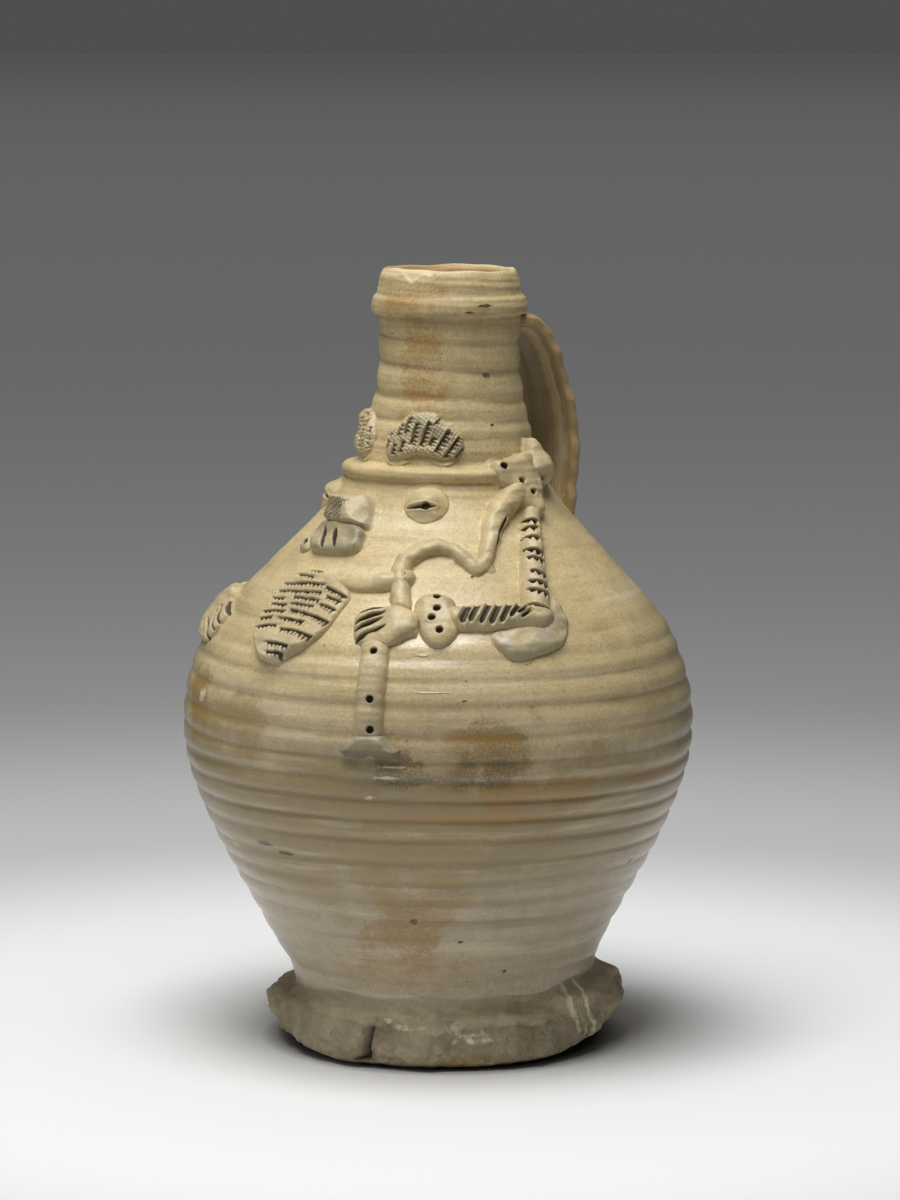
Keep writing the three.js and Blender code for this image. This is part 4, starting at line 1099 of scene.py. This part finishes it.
def relief_clay():
    """The same glaze on pieces laid on: greyer in patches on thick clay, with painted shade in the cuts and
    at the edges.
    """
    material, tree, shader, place = new_finish("relief_clay")
    glaze = placed_group(tree, glaze_tones, Place=place)
    cut = marked(tree, "cut")
    thick = marked(tree, "thick")
    ashen = marked(tree, "ashen")
    patches = noise(tree, place, 90, 5, 0.65)
    grey = times(tree, between(tree, patches, 0.62, 0.36, 0.25, 1.0), between(tree, thick, 0.1, 1.3))
    colour = blend(tree, times(tree, grey, ashen), glaze["Color"], RELIEF_GREY)
    pooled = between(tree, noise(tree, place, 260, 4, 0.6), 0.56, 0.72)
    pooled = times(tree, pooled, between(tree, thick, 0.3, 1.3))
    colour = blend(tree, times(tree, pooled, 0.35), colour, POOLED_GLAZE)
    colour = blend(tree, times(tree, glaze["Flecks"], 0.6), colour, FLECK_BROWN)
    # Browner where the piece thins out onto the wall: painted contact shade between piece and wall.
    edge = times(tree, between(tree, thick, 0.0, 0.12), between(tree, thick, 0.6, 0.25, 0.0, 0.32))
    colour = blend(tree, edge, colour, GROOVE_BROWN)
    # Painted shade down in the cuts and holes.
    colour = blend(tree, between(tree, cut, 0.2, 1.2, 0.0, 0.95), colour, CUT_PAINTED_SHADE)
    relief = times_plus(tree, patches, 0.3, glaze["Height"])
    surface(tree, shader, colour, between(tree, patches, 0.35, 0.65, 0.42, 0.56), relief)
    feed(tree, shader, Coat_Weight=0.12, Coat_Roughness=0.26)
    return material


relief_material = relief_clay()


def brow_lift(u, v):
    """A combed brow with a smooth swelling at its top and a plain lower edge."""
    height = dab(u, v, BROW_OUTLINE, crown=1.9, rounding=2.0, smear=0.3) + hand_lumps(u, v, seed=11, size=0.2)
    height = height + 0.7 * np.exp(-((u - 0.6) / 3.2) ** 2 - ((v - 5.4) / 2.6) ** 2)
    cut = deepest(toothed_cut(u, v, line[::-1], width, pitch=1.35, deep=1.8) for line, width in BROW_CUTS)
    combed = np.sin(u * 4.6 + v * 1.3) * np.sin(v * 3.9 - u * 1.1) * np.clip(height, 0, 1)
    return carved(height, cut * 0.6 + 0.22 * combed)


def clay_pair(name, place, reach, lift, ashen=0.3, forward=0, lower=0):
    """A piece on each side of the face. The right one may lie further forward and lower."""
    turn, drop = place
    clay_piece("left_" + name, turn, drop, reach, lift, 1, ashen)
    clay_piece("right_" + name, turn - forward, drop + lower, reach, lift, -1, ashen)


clay_pair("brow", BROW, BROW_REACH, brow_lift, 0.75)

# Eyes
# Two round dabs below the ledge, each with a slit cut across it for the lids and a hole pricked in
# the slit for the pupil.
EYE = (41.5, 9.6)
EYE_REACH = (-8, 8, -8, 8)
EYE_SIZE = 6.5
EYE_SLIT = [(-5.4, -1.4), (-2.4, -1.15), (0, -1.0), (3.0, -1.0)]
EYE_SLIT_OPEN = [0.3, 0.8, 0.9, 0.15]
PUPIL = (0.2, -1.0)
PUPIL_SIZE = 1.35


def eye_lift(u, v):
    """A lens of clay with an open slit and a pupil."""
    away = np.hypot(u / 1.05, v)
    t = np.clip(away / EYE_SIZE, 0, 1)
    height = 2.3 * (1 - t**2) ** 0.7 + smeared(EYE_SIZE - away, 0.1)
    height = height + hand_lumps(u, v, seed=21, size=0.12)
    height = height + 0.7 * np.exp(-((u / 4.2) ** 2) - ((v - 1.4) / 1.9) ** 2) - 0.6 * ease(-v, 1.6, 5)
    off, along, _ = nearest_on_line(u, v, EYE_SLIT)
    open_half = np.interp(along, np.linspace(0, along.max(), 4), EYE_SLIT_OPEN)
    slit = 1.2 * (1 - ease(off, 0.35 * open_half, open_half + 0.12))
    pupil = pricked_hole(u, v, PUPIL, PUPIL_SIZE, deep=3)
    cut = np.maximum(slit, pupil)
    lid = 0.22 * np.exp(-((off - open_half - 0.5) / 0.4) ** 2)
    return height - cut + lid * (away < EYE_SIZE), cut


clay_pair("eye", EYE, EYE_REACH, eye_lift)

# Nose
# A wedge of clay pinched up between finger and thumb, so that it stands well off the wall, with a
# high ridge, a blunt tip and a steep underside.
NOSE = (3, 14.5)
NOSE_REACH = (-11.6, 11.6, -6.2, 11.6)
NOSE_OUTLINE = [
    (-1.4, 9.6), (3.4, 9.4), (6.6, 7.4), (8.4, 4.1), (9.8, 0.2), (10.8, -3.8), (7, -4.3), (0, -4.4),
    (-6, -4.2), (-8.8, -3), (-9, 1), (-7.6, 5), (-4.6, 8.4),
]
NOSE_SIDES = [(8.9, -0.79, -0.31), (6.4, 0.1, 0.5), (11.4, 0, -1.05), (19.3, 0, 4.2), (25, 2.8, 0)]


def nose_lift(u, v):
    """A pinched wedge: a sloping front, a steep flank to the right and an undercut lower edge."""
    inside = inside_outline(u, v, NOSE_OUTLINE)
    sides = np.stack([base + across * u + up * v for base, across, up in NOSE_SIDES])
    wedge = -0.45 * np.log(np.exp(-sides / 0.45).sum(axis=0))
    shown = np.clip(wedge, 0, 9) * ease(inside, 0, 1.6)
    front = (1 - ease(u, 0, 3)) * (1 - ease(v, 3, 5)) * ease(inside, 0.5, 2)
    rough = np.sin(u * 4.3 + np.sin(v * 2.3)) * np.sin(v * 3.7 + u * 1.7)
    pitted = np.clip(rough - 0.1, 0, 1) * front
    height = shown + smeared(inside, 0.15) - 1.1 * pitted + hand_lumps(u, v, seed=31, size=0.2)
    # The sloping front is darkened as painted shade where it faces down, and its pits more, as painted shade
    # in them.
    return height, pitted * 1.1 + 0.6 * front


clay_piece("nose", *NOSE, NOSE_REACH, nose_lift, ashen=0.6)

# Mouth
# A bar of clay under the nose, rounded over, with cuts down across it that part the lips.
MOUTH = (3, 21.4)
MOUTH_REACH = (-16, 13.8, -6.6, 9)
MOUTH_OUTLINE = [
    (-9.6, 0.6), (-9, 5), (-6, 7.4), (0, 7.8), (6, 7.4), (10, 5), (11, 3.2), (12.4, -0.6), (11.6, -3),
    (8.4, -4), (2, -4.4), (-4, -4.6), (-8.4, -3.4),
]
MOUTH_CORNER = (-11.9, -2.2)
CORNER_SIZE = 2.9
MOUTH_SLITS = [[(-3.9, 3.2), (-2.4, 0.4), (-0.5, -3.2)], [(1.2, 3.0), (2.6, 0.4), (4.6, -2.6)]]


def mouth_lift(u, v):
    """A squared bar with two upright slits, a rough left end and a hole beside it."""
    ring = np.hypot((u - MOUTH_CORNER[0]) / 1.2, v - MOUTH_CORNER[1])
    knob = 1.9 * np.sqrt(np.clip(1 - (ring / CORNER_SIZE) ** 2, 0, 1)) + smeared(CORNER_SIZE - ring, 0.1)
    height = dab(u, v, MOUTH_OUTLINE, crown=3.6, rounding=2.4) + hand_lumps(u, v, seed=41, size=0.25)
    height = np.maximum(height, knob)
    cut = pricked_hole(u, v, MOUTH_CORNER, 1.2, deep=3)
    for line in MOUTH_SLITS:
        off, along, _ = nearest_on_line(u, v, line)
        open_half = 0.35 + 0.5 * np.sin(math.pi * np.clip(along / along.max(), 0, 1)) ** 0.6
        cut = np.maximum(cut, 2.8 * (1 - ease(off, 0.5 * open_half, open_half + 0.12)))
    # The painted shadow of the nose over the top of the mouth, which the material reads as cut.
    painted_nose_shadow = 0.66 * ease(v, -4.5, 3) * ease(height, 0.6, 2)
    return height - cut, np.maximum(cut, painted_nose_shadow)


# The mouth is greyed strongly, partly as painted shade under the nose.
clay_piece("mouth", *MOUTH, MOUTH_REACH, mouth_lift, ashen=0.9)

# Beard
# A flat tongue of clay that hangs from the mouth, combed across in rows with a toothed tool. Its tip
# stands off the shoulder and was left smooth but for two short rows.
BEARD = (9, 42)
BEARD_REACH = (-17.4, 17, -17.6, 19.6)
BEARD_OUTLINE = [
    (-11, 16.6), (-4, 18.4), (3, 17.6), (9, 14.2), (15.2, 10), (14.6, 4), (14.4, -2.6), (12.0, -8),
    (5.6, -13.4), (1.6, -15.9), (-4.8, -15.4), (-9.4, -11.6), (-12, -7.4), (-14.6, -1.6), (-15.8, 6),
    (-15, 12),
]
BEARD_ROWS = [
    ([(-8.2, 17.2), (0, 17.4)], 0.9), ([(-9.4, 15.2), (-2.4, 15.2)], 1.3),
    ([(-13.4, 11.2), (-7.3, 12.0), (-1.4, 12.8), (4.0, 13.0)], 1.5),
    ([(4.6, 12.0), (8.9, 10.8), (14.3, 8.8)], 1.6),
    ([(-13.6, 8.2), (-7.2, 8.9), (-1.2, 9.7), (4.6, 9.9)], 1.5),
    ([(6.9, 8.8), (13.6, 6.9)], 1.5), ([(-14.0, 5.2), (-8.4, 5.9)], 1.5),
    ([(-5.0, 7.0), (0.6, 7.2), (5.8, 6.9)], 1.5), ([(-12.2, 3.0), (-5.4, 3.7)], 1.4),
    ([(-4.4, 4.4), (0.1, 4.7), (5.1, 4.6)], 1.5), ([(6.4, 5.4), (9.6, 4.9), (13.6, 3.6)], 1.8),
    ([(-12.8, -0.6), (-8.7, 0.6), (-3.9, 1.4)], 1.5),
    ([(-2.8, 2.2), (2.9, 1.8), (8.5, 0.8), (13.8, -0.9)], 1.9),
    ([(-12.0, -3.3), (-7.0, -1.6)], 1.4), ([(-4.8, -1.6), (0.2, -1.4), (6.0, -1.8)], 1.7),
    ([(-10.8, -6.4), (-7.2, -5.0), (-3.2, -4.4)], 1.4), ([(-1.4, -5.2), (5.4, -5.4), (11.6, -6.6)], 1.9),
    ([(-3.6, -10.3), (1.1, -10.2), (5.6, -10.7)], 1.8), ([(-2.2, -13.2), (2.2, -12.9), (4.6, -13.2)], 1.6),
]


def beard_lift(u, v):
    """A tongue with combed rows, thicker and undercut at its tip."""
    thick = 1.5 + 2.1 * ease(-v - 0.25 * u, -6, 12)
    inside = inside_outline(u, v, BEARD_OUTLINE)
    height = thick * rounded_over(inside, 1.6) + smeared(inside, 0.12) + hand_lumps(u, v, seed=51, size=0.16)
    rows = [toothed_cut(u, v, line, width * 1.25, pitch=1.6, swell=0.15) for line, width in BEARD_ROWS]
    return carved(height, deepest(rows))


clay_piece("beard", *BEARD, BEARD_REACH, beard_lift, ashen=0.5)

# Arms
# Each arm is a row of separate pieces pressed on one after another: a cap on the shoulder, a notched
# roll down to an elbow wad, a twisted roll along to a ball for the cuff, and a flat hand.
RIGHT_FORWARD = 7
RIGHT_LOWER = 5
HOLE_SIZE = 1.15
CAP = (97.3, 2.7)
CAP_REACH = (-12.6, 10.4, -15, 11.8)
CAP_OUTLINE = [
    (-11.2, 3.4), (-9.2, 6.9), (-4, 7.4), (2.4, 9.6), (6.6, 8.6), (8.2, 2), (7.2, -5), (5.0, -10),
    (3.4, -13.4), (-1.4, -13.4), (-4.4, -8.6), (-7, -3.6),
]
CAP_HOLES = [(-7.2, 3.9), (-2.7, -1.2), (0.0, -5.4)]
UPPER_ARM = (90, 25)
UPPER_ARM_REACH = (-20, 9.6, -27, 23)
UPPER_ARM_WIDTHS = [6, 6.4, 7.2, 7.8, 8.6, 8.8]
UPPER_ARM_CROWNS = [2.8, 3.8, 4.4, 4.6, 5, 5]
UPPER_ARM_ROUTE = [(4.2, 18), (0.8, 12), (-2.6, 5), (-6.6, -4), (-10.6, -14), (-13.2, -21)]
UPPER_ARM_CUTS = [
    [(-3.4, 15.0), (1.9, 12.2)], [(-4.4, 11.6), (0.4, 9.4)], [(-6.0, 7.4), (-0.9, 5.4)],
    [(-7.3, 2.6), (-2.2, -0.4)], [(-8.4, -0.9), (-3.6, -3.2)], [(-10.0, -6.6), (-5.2, -8.8)],
    [(-12.2, -10.1), (-6.5, -12.8)], [(-13.6, -13.1), (-7.4, -16.4)], [(-16.2, -18.7), (-9.8, -21.8)],
]
FOREARM = (66, 42.3)
FOREARM_REACH = (-18, 21.6, -5, 9.6)
FOREARM_ROUTE = [(-11.4, 2.2), (-5, 2.6), (5, 2.2), (14.5, 1.2)]
FOREARM_GOUGES = [
    ([(-7.4, 6.0), (-11.2, -0.6)], 1.5), ([(-4.6, 6.6), (-8.8, -0.4)], 1.3),
    ([(-1.2, 6.6), (-5.6, -1)], 1.2), ([(2.0, 6.8), (-2.6, -1.2)], 1.4),
    ([(4.9, 6.3), (0.4, -1)], 1.2), ([(8.2, 6.0), (3.2, 0.4)], 1.1),
    ([(10.4, 4.9), (5.4, 1.4)], 0.9), ([(11.4, 3.2), (6.4, 0.2)], 0.8),
]
CUFF = (49.4, 41.8)
CUFF_REACH = (-8.6, 10, -10.4, 12.8)
CUFF_OUTLINE = [
    (-6.2, 8.2), (-3.2, 10.9), (3.4, 10.6), (6.2, 7.6), (6.8, 4.2), (8.0, -0.6), (7.0, -5), (3.2, -8.4),
    (-1, -7.6), (-3.8, -4), (-4.8, 0), (-6.6, 4),
]
CUFF_HOLES = [(0.4, 8.6), (0.6, 4.0), (-0.7, 0.6), (1.8, -3.6)]
HAND = (35, 42.8)
HAND_REACH = (-10.2, 14, -9.2, 9.8)
HAND_OUTLINE = [
    (-8.2, 4.8), (-3, 7.4), (3.4, 7.8), (8, 5.4), (12, 3.8), (12, -1.6), (8.6, -3.6), (6.6, -5.6),
    (2, -7.2), (-4.2, -6.6), (-7, -4.4), (-8, 0),
]
HAND_CUTS = [
    ([(-7.8, 3.7), (-3, 5.8), (1.4, 7.2)], 0.85), ([(-7.2, 0.1), (-3, 2.6), (1.0, 4.4)], 0.85),
    ([(-6.6, -2.5), (0.8, 2.2)], 0.75), ([(-6.6, -6.2), (-2, -3.2), (2.4, -0.9)], 0.85),
]
ELBOW_WAD = (75.8, 46.5)
ELBOW_WAD_REACH = (-17, 15, -9.4, 18)
WAD_OUTLINE = [
    (-15, 1.5), (-9, 4.6), (-2, 6.2), (6, 12), (10.4, 16), (12.8, 9), (12.6, 3.4), (9, -2.6), (4.6, -4.4),
    (-0.4, -5.4), (-7.4, -7.4), (-11.4, -4.6),
]


def cap_lift(u, v):
    """A knob over the shoulder with three pricked holes."""
    height = dab(u, v, CAP_OUTLINE, crown=3.5, rounding=3.6) + hand_lumps(u, v, seed=61, size=0.2)
    return carved(height, deepest(pricked_hole(u, v, at, HOLE_SIZE) for at in CAP_HOLES))


def upper_arm_lift(u, v):
    """A tapering roll cut across by a row of toothed notches."""
    height = roll(u, v, UPPER_ARM_ROUTE, UPPER_ARM_WIDTHS, UPPER_ARM_CROWNS)
    height = height + hand_lumps(u, v, seed=71, size=0.18)
    notches = zip(UPPER_ARM_CUTS, [2.0, 2.3] * len(UPPER_ARM_CUTS))
    cut = deepest(toothed_cut(u, v, line, width, pitch=1.9, deep=2.4, swell=0.5) for line, width in notches)
    return height - cut, cut * 0.85


def forearm_lift(u, v):
    """A roll gouged aslant, so that it looks twisted."""
    height = roll(u, v, FOREARM_ROUTE, [8.4, 9.2, 9.2, 8.4], [4.4, 5.0, 5.0, 4.4])
    height = height + hand_lumps(u, v, seed=81, size=0.16)
    cut = np.zeros(u.shape)
    for line, width in FOREARM_GOUGES:
        off, along, _ = nearest_on_line(u, v, line)
        gouge = 2.5 * faded_ends(along, -0.4, 1.6) * np.clip(1 - off / width, 0, 1) ** 0.8
        cut = np.maximum(cut, gouge)
    return height - cut, np.clip(cut * 1.5 - 1, 0, 3)


def cuff_lift(u, v):
    """A ball pressed flat below, a little pad above it, and four pricked holes."""
    height = dab(u, v, CUFF_OUTLINE, crown=3.5, rounding=3.8) + hand_lumps(u, v, seed=91, size=0.16)
    height = height - 0.8 * np.exp(-((v - 5.6) / 1.4) ** 2) * (np.abs(u) > 3) * ease(np.abs(u), 3, 5)
    return carved(height, deepest(pricked_hole(u, v, at, HOLE_SIZE) for at in CUFF_HOLES))


def hand_lift(u, v):
    """A flat hand with the gaps between its fingers drawn with a point."""
    height = dab(u, v, HAND_OUTLINE, crown=2.6, rounding=3.6) + hand_lumps(u, v, seed=101, size=0.14)
    height = height + 1.5 * ease(u, 0, 6) * (height > 0)
    cut = np.zeros(u.shape)
    for line, width in HAND_CUTS:
        off, along, _ = nearest_on_line(u, v, line)
        share = along / along.max()
        swelling = width * (0.45 + 0.75 * np.sin(math.pi * np.clip(share, 0, 1)) ** 0.7)
        cut = np.maximum(cut, 2.1 * (1 - ease(off, 0.3 * swelling, swelling + 0.1)))
    return carved(height, cut)


def wad_lift(u, v):
    """A soft wad behind the elbow, with its lower edge standing proud."""
    inside = inside_outline(u, v, WAD_OUTLINE)
    proud = 2.0 + 0.9 * ease(-v, -2, 4)
    height = proud * rounded_over(inside, 4.5) + smeared(inside, 0.15)
    return height + hand_lumps(u, v, seed=111, size=0.22), np.zeros(u.shape)


ARM_PIECES = [
    ("shoulder_cap", CAP, CAP_REACH, cap_lift, 0.4),
    # The elbow wad is greyed strongly, partly as painted shade below the arm.
    ("elbow_wad", ELBOW_WAD, ELBOW_WAD_REACH, wad_lift, 0.9),
    ("upper_arm", UPPER_ARM, UPPER_ARM_REACH, upper_arm_lift, 0.5),
    ("forearm", FOREARM, FOREARM_REACH, forearm_lift, 0.7),
    ("cuff", CUFF, CUFF_REACH, cuff_lift, 0.5),
    ("hand", HAND, HAND_REACH, hand_lift, 0.45),
]
for arm_piece in ARM_PIECES:
    clay_pair(*arm_piece, forward=RIGHT_FORWARD, lower=RIGHT_LOWER)

# Pipes
# Rolled coils that make a set of bagpipes: a mouth pipe to the beard, a drone that arches over the
# chest to the shoulder and ends in a knob, and a chanter that hangs down the belly with a flared bell.
BLOWPIPE = (29, 31.4)
BLOWPIPE_REACH = (-13, 14, -5, 7)
BLOWPIPE_ROUTE = [(-10, 0.2), (-5, -0.6), (2, 0.4), (9, 2)]
BLOWPIPE_HOLE = (8.6, 1.9)
DRONE = (65, 20)
DRONE_REACH = (-31.6, 18.6, -29, 21.6)
DRONE_ROUTE = [
    (-26.6, -24), (-25.6, -12), (-23.4, -7), (-18.6, -3.2), (-12.4, -1.2), (-8, -3), (-4.6, -7),
    (-2.2, -9.8), (0.6, -8), (2.6, -2), (5, 5.5), (8.6, 12), (13.6, 16.4),
]
DRONE_WIDTHS = [6, 5.8, 5.6, 5.4, 5.2, 5.2, 5, 4.8, 4.8, 5.6, 7, 8.4, 9]
DRONE_CROWNS = [3.4, 3.6, 3.6, 3.4, 3.2, 3.0, 2.6, 2.0, 2.4, 3.2, 3.8, 4.2, 4.4]
DRONE_SCORE = [(4.6, -4.4), (6.6, 3.2), (9.6, 8.6)]
DRONE_BELL = (117, -1.6)
DRONE_BELL_REACH = (-9.4, 9.2, -9.4, 12.2)
DRONE_BELL_OUTLINE = [
    (-1.4, 9.0), (0.4, 7.0), (2.4, 5.0), (5.0, 2.2), (5.6, -3.4), (3, -8), (-5, -8.6), (-8.6, -4),
    (-7.2, 0.2), (-4.8, 3.2), (-3.0, 6.4),
]
CHANTER = (35.5, 56.2)
CHANTER_REACH = (-6, 6.6, -24, 18)
CHANTER_FLAT = 3.7
CHANTER_ROUTE = [(-0.3, 10.5), (0.5, 3), (0.6, -8), (0.6, -18.5)]
CHANTER_HOLES = [(0.2, 7.0), (1.3, -7.4), (1.8, -16.0)]
CHANTER_BELL = (36.4, 75)
CHANTER_BELL_REACH = (-10, 10, -6, 6.6)
CHANTER_BELL_OUTLINE = [
    (-4, 2.2), (4, 2.2), (4.8, 0.6), (6.6, -1.2), (9.2, -2.2), (9, -3.4), (5.6, -4.8), (0.4, -3.4),
    (-4.4, -5), (-8.4, -3.8), (-9, -2.4), (-6.6, -1), (-4.8, 0.6),
]


def blowpipe_lift(u, v):
    """A tapering roll, held at its thick end by a pricked hole."""
    height = roll(u, v, BLOWPIPE_ROUTE, [3.4, 5.6, 6.8, 6.4], [1.2, 2.4, 3.2, 3.4])
    height = height + hand_lumps(u, v, seed=121, size=0.1)
    return carved(height, pricked_hole(u, v, BLOWPIPE_HOLE, HOLE_SIZE, deep=2.8))


def drone_lift(u, v):
    """An arched roll, webbed where its two legs meet, with a line scored down its wide end."""
    height = roll(u, v, DRONE_ROUTE, DRONE_WIDTHS, DRONE_CROWNS)
    away = ((u - 1 + 0.4 * (v + 8)) / 2.8) ** 2 + ((v + 8) / 4) ** 2
    web = 1.5 * np.exp(-away) - 0.2 - 0.35 * away
    height = np.maximum(height, web) + hand_lumps(u, v, seed=131, size=0.2)
    off, along, _ = nearest_on_line(u, v, DRONE_SCORE)
    cut = 1.4 * (1 - ease(off, 0.1, 0.7)) * faded_ends(along, 0, 2)
    return height - cut * (height > 0.2), cut


def drone_bell_lift(u, v):
    """A knob drawn up to a point, dimpled in the middle."""
    height = dab(u, v, DRONE_BELL_OUTLINE, crown=5.6, rounding=6.4, smear=0.3)
    height = height + hand_lumps(u, v, seed=141, size=0.2)
    cut = 1.8 * np.exp(-((u + 5) / 1.8) ** 2 - ((v + 6) / 0.9) ** 2)
    return height - cut, cut * 0.7


def chanter_lift(u, v):
    """A straight roll with three finger holes and a flattened top end."""
    height = roll(u, v, CHANTER_ROUTE, [8.4, 8.6, 8.8, 8.8], [2.2, 4.0, 3.8, 3.4])
    height = height + hand_lumps(u, v, seed=151, size=0.14)
    height = np.where(height > CHANTER_FLAT, CHANTER_FLAT + 0.2 * (height - CHANTER_FLAT), height)
    return carved(height, deepest(pricked_hole(u, v, at, HOLE_SIZE, deep=2.8) for at in CHANTER_HOLES))


def chanter_bell_lift(u, v):
    """A skirt that flares out to both sides."""
    height = dab(u, v, CHANTER_BELL_OUTLINE, crown=4.2, rounding=1.7, smear=0.3)
    height = height + hand_lumps(u, v, seed=161, size=0.18)
    # Darkened all over, and more towards the lower edge as painted shade under the bell.
    return height, 0.5 + 0.3 * ease(-v, 0, 3)


clay_piece("blowpipe", *BLOWPIPE, BLOWPIPE_REACH, blowpipe_lift)
clay_piece("drone_pipe", *DRONE, DRONE_REACH, drone_lift)
clay_piece("drone_bell", *DRONE_BELL, DRONE_BELL_REACH, drone_bell_lift)
clay_piece("chanter_pipe", *CHANTER, CHANTER_REACH, chanter_lift, ashen=0.6)
clay_piece("chanter_bell", *CHANTER_BELL, CHANTER_BELL_REACH, chanter_bell_lift, ashen=0.9)

# Studio
# A pale floor with a painted shadow under the jug and a painted pool of light that fades to grey behind
# it, a soft light overhead, and weak ones in front and at the left. Places in the studio are in metres, as
# the camera sees them.
VIEW_ANGLE = 51
CAMERA_DISTANCE = 1.4
CAMERA_HEIGHT = 0.322
CAMERA_ASIDE = 0.00125
CAMERA_PITCH = 7.476
LENS = 135.54
SENSOR_WIDTH = 36
FLOOR_RADIUS = 30
# Floor greys by distance out: near black under the jug as a painted shadow, then pale, darkening outwards as
# a painted fall-off of the light.
FLOOR_PAINTED_SHADOW_AND_LIGHT = [
    (0.0, 0.02), (0.0172, 0.03), (0.0186, 0.84), (0.06, 0.76), (0.12, 0.48), (0.25, 0.32), (0.5, 0.24),
    (1.0, 0.18),
]
# Glow that only the camera sees: none under the jug, then a painted pool of light round it.
FLOOR_GLOW = [(0.0, 0.0), (0.018, 0.0), (0.06, 0.15), (0.12, 0.12), (0.25, 0.08), (0.5, 0.11), (1.0, 0.11)]
FLOOR_REACH = 3.0
FADE_FROM = 2.0
FADE_TO = 26.0
FAR_GREY = (0.078, 0.078, 0.078, 1)
LIGHTS = [
    ("overhead_light", (-0.12, 0.27, 1.25), (0, 0, 0.1), 0.75, 16.2),
    ("front_light", (-0.1, 1.8, 0.9), (0, 0, 0.12), 1.8, 1.4),
    ("left_light", (-1.3, 0.5, 0.45), (0, 0, 0.18), 0.7, 2.0),
]

towards_x = math.sin(math.radians(VIEW_ANGLE))
towards_y = -math.cos(math.radians(VIEW_ANGLE))
right_x = -towards_y
right_y = towards_x


def in_studio(right, towards, up):
    """A place given by how far right of the jug, towards the camera and up it is."""
    return (right * right_x + towards * towards_x, right * right_y + towards * towards_y, up)


bpy.ops.object.select_all(action="DESELECT")
bpy.ops.mesh.primitive_circle_add(vertices=96, radius=FLOOR_RADIUS, fill_type="NGON")
floor = bpy.context.object
floor.name = "studio_floor"
floor_paint, tree, shader, place = new_finish("studio_floor")
away = length_of(tree, place)


def grey_ramp(tree, value, stops):
    """Greys that change with a value, eased between the stops."""
    ramp_node = wire(tree, "ShaderNodeValToRGB", {"Fac": value})
    ramp = ramp_node.color_ramp
    ramp.interpolation = "EASE"
    for number, (stop, tone) in enumerate(stops):
        mark = ramp.elements[number] if number < 2 else ramp.elements.new(stop)
        mark.position = stop
        mark.color = (tone, tone, tone, 1)
    return ramp_node.outputs["Color"]


out = sums(tree, "DIVIDE", away, FLOOR_REACH)
painted_floor_light = grey_ramp(tree, out, FLOOR_PAINTED_SHADOW_AND_LIGHT)
fade = between(tree, away, FADE_FROM, FADE_TO)
glow = blend(tree, fade, grey_ramp(tree, out, FLOOR_GLOW), FAR_GREY)
painted_floor_light = blend(tree, fade, painted_floor_light, (0.0, 0.0, 0.0, 1))
seen = wire(tree, "ShaderNodeLightPath").outputs["Is Camera Ray"]
paper = noise(tree, place, 900, 3)
bump = wire(tree, "ShaderNodeBump", {"Height": paper, "Distance": 0.0002, "Strength": 0.3})
feed(tree, shader, Base_Color=painted_floor_light, Roughness=0.9, Normal=bump.outputs["Normal"])
feed(tree, shader, Emission_Color=glow, Emission_Strength=seen)
floor.data.materials.append(floor_paint)


def soft_light(name, at, aim, size, watts):
    """A square lamp that points at a place."""
    bpy.ops.object.light_add(type="AREA", location=at)
    lamp = bpy.context.object
    lamp.name = name
    lamp.data.size = size
    lamp.data.energy = watts
    away = [b - a for a, b in zip(at, aim)]
    flat = math.hypot(away[0], away[1])
    lamp.rotation_euler = (math.atan2(flat, -away[2]), 0, math.atan2(-away[0], away[1]))


for name, stand, aim, size, watts in LIGHTS:
    soft_light(name, in_studio(*stand), aim, size, watts)

world = bpy.data.worlds.new("studio_world")
bpy.context.scene.world = world
world.use_nodes = True
feed(world.node_tree, world.node_tree.nodes["Background"], Color=FAR_GREY, Strength=1.0)

bpy.ops.object.camera_add(location=in_studio(CAMERA_ASIDE, CAMERA_DISTANCE, CAMERA_HEIGHT))
camera = bpy.context.object
camera.rotation_euler = (math.radians(90 - CAMERA_PITCH), 0, math.radians(VIEW_ANGLE))
camera.data.lens = LENS
camera.data.sensor_width = SENSOR_WIDTH
bpy.context.scene.camera = camera
bpy.context.scene.view_settings.view_transform = "Standard"
